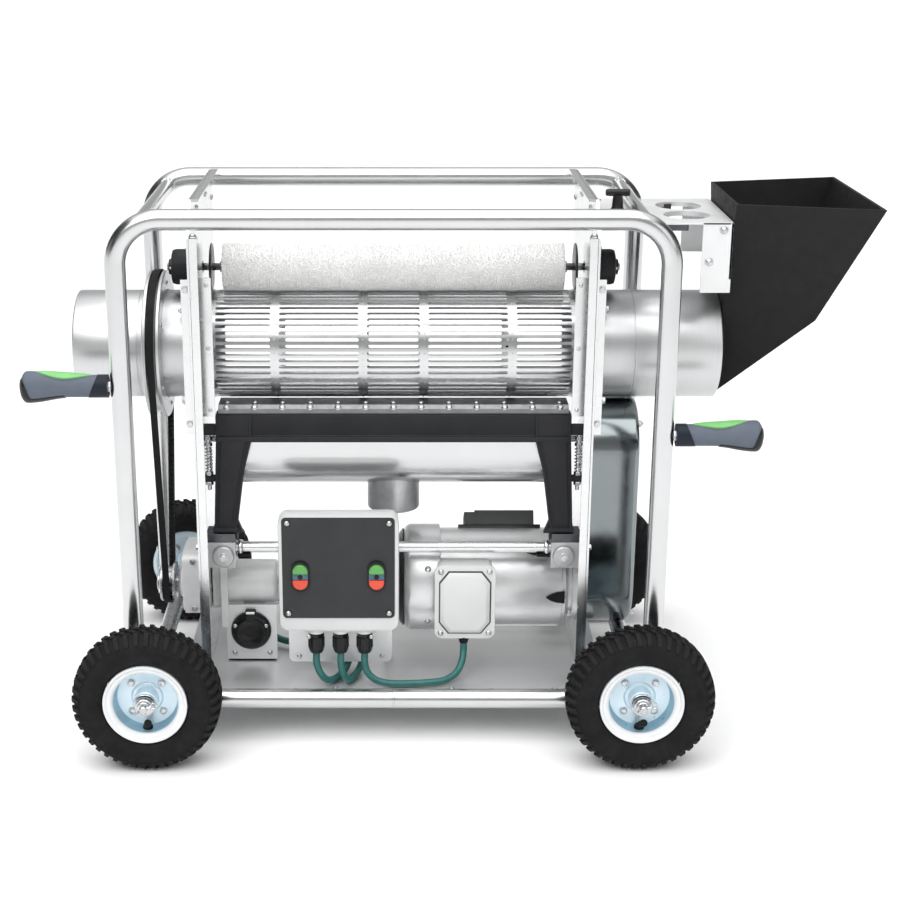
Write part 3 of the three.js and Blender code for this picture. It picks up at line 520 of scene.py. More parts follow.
def build_studio():
    floor = bpy.data.meshes.new("floor")
    reach = 60
    floor.from_pydata([(-reach, -reach, 0), (reach, -reach, 0), (reach, reach, 0), (-reach, reach, 0)], [],
                      [(0, 1, 2, 3)])
    floor.materials.append(PAINT["floor"])
    ground = bpy.data.objects.new("floor", floor)
    bpy.context.scene.collection.objects.link(ground)

    world = bpy.data.worlds.new("studio")
    world.use_nodes = True
    bpy.context.scene.world = world
    nodes, links = world.node_tree.nodes, world.node_tree.links
    coordinates = nodes.new("ShaderNodeTexCoord")
    parts = nodes.new("ShaderNodeSeparateXYZ")
    links.new(coordinates.outputs["Generated"], parts.inputs["Vector"])

    def curve(value, stops):
        node = nodes.new("ShaderNodeValToRGB")
        node.color_ramp.interpolation = "EASE"
        while len(node.color_ramp.elements) < len(stops):
            node.color_ramp.elements.new(0.5)
        for element, (position, grey) in zip(node.color_ramp.elements, stops):
            element.position = position
            element.color = (grey, grey, grey, 1)
        shift = nodes.new("ShaderNodeMapRange")
        shift.inputs["From Min"].default_value = -1
        links.new(value, shift.inputs["Value"])
        links.new(shift.outputs["Result"], node.inputs["Fac"])
        return node.outputs["Color"]

    # brightness from left to right, and from the ground straight down to the zenith
    across = curve(parts.outputs["X"], [
        (0.0, 0.7), (0.04, 0.1), (0.13, 0.12), (0.20, 1.0), (0.5, 1.0), (0.80, 1.0), (0.87, 0.12),
        (0.96, 0.1), (1.0, 0.7),
    ])
    upward = curve(parts.outputs["Z"], [
        (0.0, 1.0), (0.5, 1.0), (0.54, 0.5), (0.70, 0.38), (0.80, 0.6), (0.86, 1.1), (1.0, 1.1),
    ])
    product = nodes.new("ShaderNodeMix")
    product.data_type = "RGBA"
    product.blend_type = "MULTIPLY"
    product.inputs["Factor"].default_value = 1.0
    links.new(across, product.inputs["A"])
    links.new(upward, product.inputs["B"])
    # the dark bands are there for bright metal to mirror; the sky itself is plain white to the camera
    sight = nodes.new("ShaderNodeLightPath")
    sky = nodes.new("ShaderNodeMix")
    sky.data_type = "RGBA"
    links.new(sight.outputs["Is Camera Ray"], sky.inputs["Factor"])
    links.new(product.outputs["Result"], sky.inputs["A"])
    sky.inputs["B"].default_value = (1, 1, 1, 1)
    background = nodes["Background"]
    links.new(sky.outputs["Result"], background.inputs["Color"])
    background.inputs["Strength"].default_value = 1.0

    def softbox(name, place, aim, size, power):
        data = bpy.data.lights.new(name, "AREA")
        data.shape = "RECTANGLE"
        data.size, data.size_y = size
        data.energy = power
        lamp = bpy.data.objects.new(name, data)
        lamp.location = place
        lamp.rotation_euler = (Vector(aim) - Vector(place)).to_track_quat("-Z", "Y").to_euler()
        bpy.context.scene.collection.objects.link(lamp)

    softbox("key", (-1.6, -2.2, 2.6), (0, 0, 0.4), (1.6, 1.6), 16)
    softbox("fill", (2.2, -1.6, 1.6), (0, 0, 0.4), (1.4, 1.4), 7)
    softbox("top", (0.0, 0.4, 3.0), (0, 0, 0.4), (2.4, 1.6), 12)

    daylight = bpy.data.lights.new("daylight", "SUN")
    daylight.energy = 1.9
    daylight.angle = math.radians(70)
    lamp = bpy.data.objects.new("daylight", daylight)
    lamp.rotation_euler = (math.radians(24), 0, math.radians(-14))
    bpy.context.scene.collection.objects.link(lamp)


build_studio()
bpy.context.scene.view_settings.view_transform = "Standard"

# ---------------------------------------------------------------- frame

FRAME = SimpleNamespace(tube=15, bend=65, half=392, top=806, bottom=67, depth=190)
CROSS = SimpleNamespace(radius=9.5, turn=math.radians(57))


def loop_path(y):
    half, bend = FRAME.half - FRAME.bend, FRAME.bend
    high, low = FRAME.top - bend, FRAME.bottom + bend
    steps = 14
    corners = (
        arc(half, low, bend, -90, 0, steps) + arc(half, high, bend, 0, 90, steps)
        + arc(-half, high, bend, 90, 180, steps) + arc(-half, low, bend, 180, 270, steps)
    )
    return [(x, y, z) for x, z in corners]


def weld_ring(shape, place, radius, width=2.4, height=0.8):
    """A low seam round a tube along X."""
    shape.turned(
        [(radius - 1, -width), (radius + height * 0.7, -width / 2), (radius + height, 0),
         (radius + height * 0.7, width / 2), (radius - 1, width)],
        place, "x", 48, closed=True,
    )


def saddle_weld(shape, centre, away, tangent, y, sign, radius):
    """The bead where a small tube along Y meets the side of a frame tube."""
    path = []
    sizes = []
    around = 48
    for i in range(around):
        t = 2 * math.pi * i / around
        sink = math.sqrt(FRAME.tube**2 - (radius * math.cos(t)) ** 2)
        reach = away * (radius * math.cos(t)) + tangent * (radius * math.sin(t))
        path.append(Vector((centre[0], y + sign * (sink + 0.5), centre[1])) + reach)
        sizes.append(2.0 + 0.35 * math.sin(16 * t))
    shape.tube(path, sizes, 8, paint=0, closed=True)


def build_frame():
    for node, y in (("front_frame_loop", -FRAME.depth), ("rear_frame_loop", FRAME.depth)):
        shape = Shape()
        shape.tube(loop_path(y), FRAME.tube, 40, closed=True)
        weld_ring(shape, (0, y, FRAME.bottom), FRAME.tube)
        inward = 1 if y < 0 else -1
        for side in SIDES.values():
            x = side * (FRAME.half - FRAME.bend + FRAME.bend * math.cos(CROSS.turn))
            z = FRAME.top - FRAME.bend + FRAME.bend * math.sin(CROSS.turn)
            away = Vector((side * math.cos(CROSS.turn), 0, math.sin(CROSS.turn)))
            tangent = Vector((side * math.sin(CROSS.turn), 0, -math.cos(CROSS.turn)))
            saddle_weld(shape, (x, z), away, tangent, y, inward, CROSS.radius)
            if y > 0:
                shape.rod((x, 0, z), "y", CROSS.radius, -FRAME.depth + 9, FRAME.depth - 9, 32)
            # the lug that carries the axle pipe inside each lower bend
            lug = [(side * 352, 95), (side * 378, 88), (side * 389, 96), (side * 391, 124), (side * 366, 127),
                   (side * 352, 120)]
            shape.prism(lug, "y", y + inward * 13, y + inward * 17)
        for x in (-150, 150):
            weld_ring(shape, (x, y + inward * 1.5, FRAME.bottom + 0.3), FRAME.tube - 0.9, 5, 1.0)
        piece(node + "_tube", shape, ["polished"], replaces=[node], bevel=0.4)

    for name in SIDES:
        axle = at(name + "_axle")
        place = (axle.x, 0, axle.z)
        shape = Shape()
        shape.rod(place, "y", 13, -172, 172, 32)
        shape.rod(place, "y", 6.35, axle.y0, axle.y1, 28, chamfer=1.2)
        for end in (-1, 1):
            for gap in (0, 3.2):
                shape.washer((axle.x, end * (304.6 + gap), axle.z), (0, end, 0), 13.5 - gap, 2.6, 1)
            # a cotter pin: its legs, and its eye
            pin = [(axle.x - 10, end * 313, axle.z - 7), (axle.x - 4, end * 313.4, axle.z - 2.6),
                   (axle.x + 4, end * 313.4, axle.z + 2.6), (axle.x + 11, end * 313, axle.z + 5)]
            shape.tube(smooth_path(pin), 1.5, 10, 1)
            eye = [(x, end * 313, z) for x, z in circle(axle.x + 15, axle.z + 7, 4.4, 20)]
            shape.tube(eye, 1.3, 8, 1, closed=True)
        piece(name + "_axle_rod", shape, ["steel", "bolt"], replaces=[name + "_axle"])

    tray = at("base_tray")
    thick, fold = 3, 5
    inner = fold - thick
    section = [(tray.y0, tray.z0), *arc(tray.y0 + fold, tray.z1 - fold, fold, 180, 90, 5),
               *arc(tray.y1 - fold, tray.z1 - fold, fold, 90, 0, 5), (tray.y1, tray.z0),
               (tray.y1 - thick, tray.z0), *arc(tray.y1 - fold, tray.z1 - fold, inner, 0, 90, 5),
               *arc(tray.y0 + fold, tray.z1 - fold, inner, 90, 180, 5), (tray.y0 + thick, tray.z0)]
    shape = Shape()
    shape.prism(section, "x", tray.x0, tray.x1)
    for x in (-270, -90, 90, 250):
        for y in (-160, 160):
            shape.pan_screw((x, y, tray.z1), "z", 4.6, 1)
    piece("base_tray_sheet", shape, ["deck", "bolt"], replaces=["base_tray"], bevel=0.5)


# ---------------------------------------------------------------- side plates

# axes that several pieces share: (Y, Z) of the gear motor and the drive motor, and the reel with its blades
GEAR_AXIS = (-18, 190)
MOTOR_AXIS = (-12, 195)
REEL = SimpleNamespace(y=-12, z=431, radius=61.5, half=256, blades=5, twist=0.9)


def build_side_plates():
    for name, side in SIDES.items():
        plate = at(name + "_side_plate")
        drum, brush = at("infeed_tube"), at("brush_roller")
        near, far = 290, 294
        span = sorted((side * near, side * far))
        low, high = 68.6, plate.z1
        corner, window = 5, 86.5
        outline = [(plate.y0, low), (plate.y1, low), *arc(plate.y1 - corner, high - corner, corner, 0, 90, 5),
                   (-121, high), (plate.y0, 774)]
        shaft_hole = circle(*MOTOR_AXIS, 14.5, 32) if side > 0 else circle(*GEAR_AXIS, 18, 32)
        holes = [circle(0, drum.z, window, 96), circle(0, brush.z, 9.5, 28), circle(REEL.y, REEL.z, 12, 28),
                 shaft_hole]
        shape = Shape()
        shape.prism(outline, "x", *span, holes=holes)

        # three lips: the fold along the front edge, and a flange on either side of the plate
        for near, far, y, z0, z1 in ((279, 291, plate.y0, 100, 774), (264, 291, -135, 502, 711),
                                     (291, 306, -152, 479, 712)):
            shape.box(sorted((side * near, side * far)), (y, y + 3), (z0, z1))
        shape.box(sorted((side * 279, side * 291)), (-121, plate.y1), (high - 3, high))
        # a rolled bead round the tumbler window, and the bolts that hold what the plate carries
        for face_x, out in ((span[0], -1), (span[1], 1)):
            bead = [(window, 0), (window + 4.5, 0), (window + 3.9, 1.2), (window + 0.7, 1.2)]
            shape.turned(bead, (face_x, 0, drum.z), (out, 0, 0), 96, closed=True)
        inside, away = (span[1], 1) if side < 0 else (span[0], -1)
        for y, z in ((-150, 120), (-150, 300), (-120, 745), (-120, 640), (150, 120), (150, 420), (150, 780),
                     (60, 800), (-60, 800)):
            shape.pan_screw((inside, y, z), (away, 0, 0), 4.6, 1)
            shape.hex_bolt((span[0] if side < 0 else span[1], y, z), (-away, 0, 0), 4.8, 1)
        for z in (512, 606, 700):
            shape.pan_screw((side * 271, -135, z), (0, -1, 0), 3.2, 1)
        for z in (496, 698):
            shape.hex_bolt((side * 299.5, -152, z), (0, -1, 0), 4.2, 1)
        shape.acorn_nut((side * 285, plate.y0 + 9, 771), "z", 6.5, 1)
        node = name + "_side_plate"
        piece(node + "_sheet", shape, ["sheet", "bolt"], replaces=[node], bevel=0.5)


# ---------------------------------------------------------------- tumbler

DRUM = SimpleNamespace(
    wall=3, sectors=50, slot=5.7,
    bays=((-268, -184.5), (-172.5, -52), (-40, 40), (52, 172.5), (184.5, 268)),
)


def drum_shell(shape, z, radius, half):
    """The slotted shell: one round-ended slot in every sector of every bay, cut right through."""
    pitch = 2 * math.pi / DRUM.sectors
    inside = radius - DRUM.wall
    half_slot = DRUM.slot / radius / 2
    edges = [-half, *[x for bay in DRUM.bays for x in bay], half]
    end_turns = [math.pi / 2 + math.pi * k / 4 for k in range(5)]
    points = []
    faces = []
    known = {}

    def corner(x, turn, reach):
        key = (round(x, 3), round(turn % (2 * math.pi) * 1e4) % round(2e4 * math.pi), reach)
        if key not in known:
            known[key] = len(points)
            points.append((x, reach * math.cos(turn), z + reach * math.sin(turn)))
        return known[key]

    for sector in range(DRUM.sectors):
        start = sector * pitch
        middle, end = start + pitch / 2, start + pitch
        for left, right in zip(edges, edges[1:]):
            if (left, right) not in DRUM.bays:
                turns = (start, middle, end)
                for a, b in zip(turns, turns[1:]):
                    corners = ((left, a), (right, a), (right, b), (left, b))
                    for reach in (radius, inside):
                        faces.append([corner(x, t, reach) for x, t in corners])
                continue
            near, far = left + DRUM.slot / 2, right - DRUM.slot / 2
            hole = [(near + DRUM.slot / 2 * math.cos(t), middle + half_slot * math.sin(t)) for t in end_turns]
            hole += [(far - DRUM.slot / 2 * math.cos(t), middle - half_slot * math.sin(t)) for t in end_turns]
            border = [(near, end), (left, end), (left, middle), (left, start), (near, start),
                      (far, start), (right, start), (right, middle), (right, end), (far, end)]
            for i in range(10):
                j = (i + 1) % 10
                for reach in (radius, inside):
                    faces.append([corner(*border[i], reach), corner(*border[j], reach),
                                  corner(*hole[j], reach), corner(*hole[i], reach)])
                faces.append([corner(*hole[i], radius), corner(*hole[j], radius),
                              corner(*hole[j], inside), corner(*hole[i], inside)])
        for x in (-half, half):
            for a, b in ((start, middle), (middle, end)):
                ends = ((a, radius), (b, radius), (b, inside), (a, inside))
                faces.append([corner(x, t, reach) for t, reach in ends])
    shape.add(points, faces)


def pulley_profile(bore, rim, root, start, end):
    """A V groove between two rims."""
    middle = (start + end) / 2
    return [(bore, start), (rim - 1, start), (rim, start + 1), (rim, middle - 8), (root, middle - 5.5),
            (root, middle + 5.5), (rim, middle + 8), (rim, end - 1), (rim - 1, end), (bore, end)]


def belt_path(low, high, low_radius, high_radius):
    """The line of a belt round two pulleys on X axes, as (y, z) with its outward normal."""
    (y0, z0), (y1, z1) = low, high
    distance = math.hypot(y1 - y0, z1 - z0)
    lean = math.atan2(z1 - z0, y1 - y0)
    spread = math.acos((low_radius - high_radius) / distance)
    step = 2.0
    stations = []

    def sweep(y, z, radius, start, end):
        count = max(3, round(radius * abs(end - start) / step))
        for i in range(count + 1):
            t = start + (end - start) * i / count
            stations.append((y + radius * math.cos(t), z + radius * math.sin(t), math.cos(t), math.sin(t)))

    def run(c, d):
        a, b, ny, nz = stations[-1]
        count = round(math.hypot(c - a, d - b) / step)
        for i in range(1, count):
            s = i / count
            stations.append((a + (c - a) * s, b + (d - b) * s, ny, nz))

    sweep(y1, z1, high_radius, lean - spread, lean + spread)
    run(y0 + low_radius * math.cos(lean + spread), z0 + low_radius * math.sin(lean + spread))
    sweep(y0, z0, low_radius, lean + spread, lean + 2 * math.pi - spread)
    run(*stations[0][:2])
    return stations


def toothed_belt(shape, path, x0, x1, height, tooth, narrow):
    """A belt with cross teeth inside; narrow is how much each side leans in towards the teeth."""
    rings = []
    for i, (y, z, ny, nz) in enumerate(path):
        rise = tooth if i % 4 < 2 else 0.0
        rings.append([
            (x0 + narrow, y + ny * rise, z + nz * rise), (x1 - narrow, y + ny * rise, z + nz * rise),
            (x1, y + ny * height, z + nz * height), (x0, y + ny * height, z + nz * height),
        ])
    shape.loft(rings, closed=True)


def build_tumbler():
    infeed, outfeed, drum = at("infeed_tube"), at("outfeed_tube"), at("tumbler_drum")
    z = infeed.z
    radius = (infeed.z1 - infeed.z0) / 2
    shape = Shape()
    drum_shell(shape, z, radius, drum.x1)
    # a small weld dot in line with every slot, on the rings between the bays and at both ends
    for x in (-276, -178.5, -46, 46, 178.5, 276):
        for i in range(DRUM.sectors):
            degrees = 360 * (i + 0.5) / DRUM.sectors
            weld = [(0, 0), (1.5, 0), (1.1, 0.8), (0, 1.0)]
            shape.turned(weld, spoke((x, 0, z), radius - 0.4, degrees), outward(degrees), 8)
    piece("tumbler_drum_shell", shape, ["polished"], "tumbler", ["tumbler_drum"], crease=24)

    for node, box, sign, seam in (("infeed_tube", infeed, 1, 362), ("outfeed_tube", outfeed, -1, -384)):
        start, end = (box.x0, box.x1) if sign > 0 else (box.x1, box.x0)
        bore = radius - 3
        shape = Shape()
        shape.turned(
            [(bore, start), (radius, start), (radius, seam - 1.2 * sign), (radius - 0.7, seam - 0.6 * sign),
             (radius - 0.7, seam + 0.6 * sign), (radius, seam + 1.2 * sign), (radius, end - 2 * sign),
             (radius - 0.8, end - 0.5 * sign), (radius - 1.6, end), (bore + 0.6, end),
             (bore, end - 1.2 * sign)],
            (0, 0, z), "x", 128, closed=True,
        )
        piece(node + "_shell", shape, ["brushed"], "tumbler", [node])

    pulley = at("tumbler_pulley")
    shape = Shape()
    rim = (pulley.z1 - pulley.z0) / 2
    shape.turned(pulley_profile(radius + 0.9, rim, rim - 8.5, pulley.x0, pulley.x1), (0, 0, z), "x", 128,
                 closed=True)
    for degrees in range(30, 390, 60):
        for x, out in ((pulley.x0, -1), (pulley.x1, 1)):
            shape.pan_screw(spoke((x, 0, z), 96, degrees), (out, 0, 0), 3.6, 1)
    piece("tumbler_pulley_rim", shape, ["brushed", "bolt"], "tumbler", ["tumbler_pulley"])

    gear = at("gear_motor_pulley")
    shape = Shape()
    centre = (0, gear.y, gear.z)
    rim = (gear.z1 - gear.z0) / 2
    shape.turned(pulley_profile(8.5, rim, rim - 8, gear.x0, gear.x1), centre, "x", 64, closed=True)
    near, far = gear.x0 - 6, gear.x0 + 2
    hub = [(8.5, near), (15, near), (16, near + 1), (16, far), (8.5, far)]
    shape.turned(hub, centre, "x", 40, closed=True)
    for degrees in (90, 210, 330):
        shape.hex_bolt(spoke((gear.x0, *centre[1:]), 21, degrees), (-1, 0, 0), 3.4, 1)
    piece("gear_motor_pulley_body", shape, ["steel", "bolt"], "gear_pulley", ["gear_motor_pulley"])

    belt = at("tumbler_belt")
    middle = (belt.x0 + belt.x1) / 2
    shape = Shape()
    path = belt_path((gear.y, gear.z), (0, z), 27, 106)
    toothed_belt(shape, path, middle - 5.2, middle + 5.2, 8, 2.6, 1.6)
    piece("tumbler_v_belt", shape, ["rubber"], replaces=["tumbler_belt"], crease=30)


def build_rollers():
    for name, side in SIDES.items():
        for spot in ("upper_front", "lower_front", "lower_rear"):
            node = f"{name}_{spot}_roller"
            box = at(node)
            near, far = (box.x0, box.x1) if side > 0 else (box.x1, box.x0)
            tyre0, tyre1 = side * 297, side * 315
            place = (0, box.y, box.z)
            shape = Shape()
            s = side
            shape.turned(
                [(7, tyre0), (14.5, tyre0), (16.4, tyre0 + s), (17, tyre0 + 3 * s), (17, tyre1 - 3 * s),
                 (16.4, tyre1 - s), (14.5, tyre1), (13.5, tyre1 - 1.2 * s), (9, tyre1 - 1.2 * s), (7, tyre1)],
                place, "x", 48, closed=True,
            )
            shape.rod(place, "x", 6.6, near, far - 3 * s, 28, 1)
            shape.hexagon(place, "x" if s > 0 else (-1, 0, 0), 6.0, abs(far) - 4.5, abs(far), 1)
            shape.washer((tyre1 - 0.6 * s, box.y, box.z), (s, 0, 0), 9, 1.4, 1, bore=6.2)
            shape.washer((near, box.y, box.z), (s, 0, 0), 9.5, 1.6, 1, bore=6.2)
            piece(node + "_wheel", shape, ["rubber", "bolt"], f"{name}_{spot}_support", [node])


def build_gear_motor():
    y, z = GEAR_AXIS
    box = at("gear_motor")
    shape = Shape()
    motor = [(0, -184), (26, -184), (31, -185), (34, -188), (35, -192), (35, -268), (37, -269.5), (37, -275),
             (0, -275)]
    shape.turned(motor, (0, y, z), "x", 96)
    shape.prism(rounded(y - 22, y + 22, 150, 250, 8), "x", -288, -275)
    shape.rod((0, y, z), "x", 14, -300, -270, 32)
    # the gearbox: a plain casting with a raised cover, and the output shaft with its hub
    shape.prism(rounded(-62, 26, 148, 252, 14), "x", -331, -299)
    shape.prism(rounded(-58, 22, 152, 248, 12), "x", -334, -296)
    shape.turned([(0, -330), (26, -330), (26, -338), (22, -342), (14, -344), (0, -344)], (0, y, z), "x", 40)
    shape.rod((0, y, z), "x", 7.9, -340, box.x0, 28, 1)
    # a flat strap in front of the motor, with a screw through each of its flanks
    shape.prism(rounded(-273, -262, 128, 252, 3), "y", -62, -56)
    for x, out in ((-273, -1), (-262, 1)):
        shape.rod((x, -59, 232), (out, 0, 0), 2.6, -1, 9, 16, 1)
        shape.washer((x, -59, 232), (out, 0, 0), 5.2, 1.6, 1)
        shape.hexagon((x, -59, 232), (out, 0, 0), 4.2, 1.6, 5, 1)
    for level in (160, 240):
        shape.hex_bolt((-316, -62, level), (0, -1, 0), 3.6, 1)
    # the terminal cover under the motor and its screws
    shape.prism(rounded(-240, -205, y - 16, y + 16, 4), "z", z - 46, z - 30)
    for x in (-236, -209):
        for out in (-12, 12):
            shape.pan_screw((x, y + out, z - 46), (0, 0, -1), 2.4, 1)
    piece("gear_motor_body", shape, ["light_casting", "bolt"], replaces=["gear_motor"], bevel=0.6)


# ---------------------------------------------------------------- brush


def build_brush():
    box = at("brush_roller")
    bearing = at("left_brush_bearing")
    z, reach, half = box.z, (box.z1 - box.z0) / 2, 258.5
    root = reach - 4.5
    draw = random.Random(7)
    shape = Shape()
    core = [(0, -half), (root, -half), (root + 0.6, -half + 2), (root + 0.6, half - 2), (root, half),
            (0, half)]
    shape.turned(core, (0, 0, z), "x", 64)
    shape.rod((0, 0, z), "x", 5.5, box.x0, box.x1, 24, 1)
    for side in SIDES.values():
        shape.turned([(5, 0), (35, 0), (36, 0.6), (36, 1.4), (35, 2), (5, 2)], (side * 275.5, 0, z),
                     (side, 0, 0), 48, 2, closed=True)
        shape.washer((side * (half + 1), 0, z), (side, 0, 0), 9, 4, 1, bore=5.3)
    rows, around = 190, 96
    for row in range(rows):
        x = -half + (row + 0.5) * 2 * half / rows
        for i in range(around):
            turn = 2 * math.pi * (i + 0.5 * (row % 2) + draw.uniform(-0.35, 0.35)) / around
            base_x = x + draw.uniform(-1.3, 1.3)
            lean = draw.uniform(-1.6, 1.6)
            swing = turn + draw.uniform(-0.035, 0.035)
            tip = reach - draw.uniform(0.0, 0.7)
            wide = draw.uniform(0.8, 1.2) / root
            ring = [(base_x - 1.0, turn - wide), (base_x + 1.1, turn), (base_x - 1.0, turn + wide)]
            points = [(px, root * math.cos(t), z + root * math.sin(t)) for px, t in ring]
            points.append((base_x + lean, tip * math.cos(swing), z + tip * math.sin(swing)))
            shape.add(points, [[0, 1, 3], [1, 2, 3], [2, 0, 3], [0, 2, 1]], 3)
    piece("brush_roller_bristles", shape, ["core", "steel", "trim", "bristle"], "brush", ["brush_roller"],
          crease=60)

    for name, side in SIDES.items():
        shape = Shape()
        # a two-bolt flange: its outline is the hull of a big circle and two small ones
        ear, small, big = 28.5, 8.0, 25.0
        lean = math.degrees(math.asin((big - small) / ear))
        outline = (
            arc(0, z, big, -lean, lean, 8) + arc(0, z + ear, small, lean, 180 - lean, 10)
            + arc(0, z, big, 180 - lean, 180 + lean, 8) + arc(0, z - ear, small, 180 + lean, 360 - lean, 10)
        )
        shape.prism(outline, "x", side * abs(bearing.x1), side * 304, holes=[circle(0, z, 6.1, 24)])
        housing = [(6.1, 303), (27, 303), (27, 330), (25.5, 335), (22, 336), (15, 336), (14, 333),
                   (6.1, 333)]
        inner_ring = [(5.9, 330), (12, 330), (12, 340.4), (11.4, 341), (5.9, 341)]
        shape.turned(housing, (0, 0, z), (side, 0, 0), 48, closed=True)
        shape.turned(inner_ring, (0, 0, z), (side, 0, 0), 32, closed=True)
        for degrees in (60, 180, 300):
            shape.pan_screw(spoke((side * 338, 0, z), 11.4, degrees), outward(degrees), 2.2, 1)
        for out in (-ear, ear):
            shape.hex_bolt((side * 304, 0, z + out), (side, 0, 0), 6, 1)
            shape.rod((side * 304, 0, z + out), (side, 0, 0), 3.2, 2, 12, 16, 1)
        piece(name + "_brush_bearing_block", shape, ["casting", "bolt"], replaces=[name + "_brush_bearing"],
              bevel=0.8)


# ---------------------------------------------------------------- cutter


def build_cutter():
    half, front, back = 268, -100, -76
    shape = Shape()
    section = [(front, 494), (front, 462), (front - 1.2, 460.4), (front - 4, 460), (front - 4, 453.5),
               (front - 2.5, 451), (back, 451), (back, 494)]
    shape.prism(section, "x", -half, half)
    shape.prism([(back, 480), (back + 12, 484), (back + 12, 494), (back, 494)], "x", -half + 12, half - 12)
    for side in SIDES.values():
        def across(points):
            return [(side * x, z) for x, z in points]
        leg = across([(213, 493), (268, 493), (268, 462), (275, 306), (241, 306), (228, 400), (215, 452)])
        shape.prism(leg, "y", front - 1.5, -85)
        # raised flanks beside the two long grooves, and the web between them
        inner = [(213, 493), (217, 493), (219, 455), (231.5, 402), (244.5, 310), (241, 310), (228, 400),
                 (215, 452)]
        outer = [(264.5, 493), (268, 493), (268, 462), (275, 310), (271.5, 310), (264.5, 462)]
        web = [(224, 452), (261, 458), (268.5, 318), (248, 318), (234, 404)]
        for flank in (inner, outer, web):
            shape.prism(across(flank), "y", front - 3.2, front)
        shape.prism(across([(238, 306), (277, 306), (277, 313), (238, 313)]), "y", front - 4, -79)
        shape.hex_bolt((side * 258, -91, 313), "z", 7.5, 1)
        shape.prism(across([(240, 290), (247, 304), (247, 313), (240, 313)]), "y", front - 2, -86)
        shape.prism(across([(231, 302), (243, 302), (243, 326), (240, 326)]), "y", front + 3, -88)
        # the setting screw beside each leg: a stud, two nuts, a spring and a block
        x = side * 281
        shape.rod((x, -92, 0), "z", 3.2, 372, 462, 16, 1)
        for level in (380, 396, 442, 452):
            shape.hexagon((x, -92, 0), "z", 6.4, level, level + 5.5, 1)
        shape.spring((x, -92, 0), "z", 5, 403, 440, 7, 1.0, 1)
        shape.box(sorted((side * 262, side * 288)), (-99, -85), (461, 476))
        shape.box(sorted((side * 268, side * 289)), (-97, -87), (386, 395))
    piece("cutter_frame_casting", shape, ["casting", "bolt"], replaces=["cutter_frame"], bevel=1.0)

    knife = at("bedknife")
    shape = Shape()
    shape.prism([(-96, knife.z0), (-64, knife.z0), (-52.5, knife.z1 - 0.6), (-52, knife.z1), (-90, knife.z1),
                 (-96, knife.z1 - 5)], "x", knife.x0, knife.x1)
    count = 13
    for i in range(count):
        x = knife.x0 + 13 + (knife.x1 - knife.x0 - 26) * i / (count - 1)
        shape.turned([(0, 0.2), (5.2, 0.2), (5.2, 0.5), (2.6, 2.6), (2.2, 2.6), (2, 1.6), (0, 1.6)],
                     (x, -93.5, knife.z1 - 3), (0, -0.7, 0.7), 24, 1)
        shape.pan_screw((x, -80, knife.z1), "z", 3.8, 1)
    piece("bedknife_blade", shape, ["knife", "bolt"], replaces=["bedknife"], bevel=0.5)

    rod_y, rod_z = -88, 276
    shape = Shape()
    shape.rod((0, rod_y, rod_z), "x", 8.75, -285, 285, 40, chamfer=1)
    for side in SIDES.values():
        weld_ring(shape, (side * 237, rod_y, rod_z), 10.5, 4.5, 1.5)
        xs = sorted((side * 243, side * 288))
        shape.box(xs, (-106, -70), (248, 290), 4)
        shape.box(xs, (-106, -70), (290.6, 304), 1)
        boss = [(0, 0), (16.6, 0), (16.6, 5), (15.2, 6.4), (12, 6.6), (0, 6.6)]
        shape.turned(boss, (side * 262, -106, 268), (0, -1, 0), 48, 4)
        shape.washer((side * 262, -112.6, 268), (0, -1, 0), 7.4, 1.2, 2)
        shape.hexagon((side * 262, -113.8, 268), (0, -1, 0), 5.6, 0, 3.6, 2)
        shape.box(sorted((side * 222, side * 242)), (-97, -79), (262.5, 266.5), 3)
    piece("cutter_support_rod_clamps", shape, ["sheet", "dark_steel", "bolt", "rubber", "clamp"],
          replaces=["cutter_support_rod"], bevel=0.8)

    build_reel()
    build_reel_drive()
    build_chute()


def build_reel():
    y, z, radius, half = REEL.y, REEL.z, REEL.radius, REEL.half
    box = at("cutting_reel")
    shape = Shape()
    shape.rod((0, y, z), "x", 8, box.x0, box.x1, 32)
    disc = [(8, -5), (16, -5), (17, -3.5), (radius - 13, -2.5), (radius - 12, -1.5)]
    disc += [(r, -distance) for r, distance in reversed(disc)]
    for x in (-half + 14, 0, half - 14):
        shape.turned(disc, (x, y, z), "x", 48, closed=True)
    # a blade's section, as (radius, how far it leads the blade's own angle)
    section = [(radius, 0.035), (radius - 3, 0.055), (radius - 20, 0.15), (radius - 20, 0.07),
               (radius - 3, -0.02), (radius, -0.03)]
    steps = 40
    for blade in range(REEL.blades):
        start = 2 * math.pi * blade / REEL.blades
        rings = []
        for i in range(steps + 1):
            turn = start + REEL.twist * i / steps
            x = -half + 2 * half * i / steps
            rings.append([(x, y + r * math.cos(turn + lead), z + r * math.sin(turn + lead))
                          for r, lead in section])
        shape.loft(rings)
    piece("cutting_reel_blades", shape, ["steel"], "reel", ["cutting_reel"])


def timing_pulley(shape, place, rim, bore, x0, x1, teeth):
    """A toothed pulley between two thin flanges."""
    rings = []
    for x in (x0 + 1.6, x1 - 1.6):
        ring = []
        for i in range(teeth * 4):
            reach = rim if i % 4 < 2 else rim - 1.8
            t = 2 * math.pi * (i + (0.3 if i % 2 else 0)) / (teeth * 4)
            ring.append((x, place[1] + reach * math.cos(t), place[2] + reach * math.sin(t)))
        rings.append(ring)
    shape.loft(rings)
    flange = [(bore, 0), (rim + 0.6, 0), (rim + 0.6, 1.6), (bore, 1.6)]
    for x in (x0, x1 - 1.6):
        shape.turned(flange, (x, place[1], place[2]), "x", 64, closed=True)


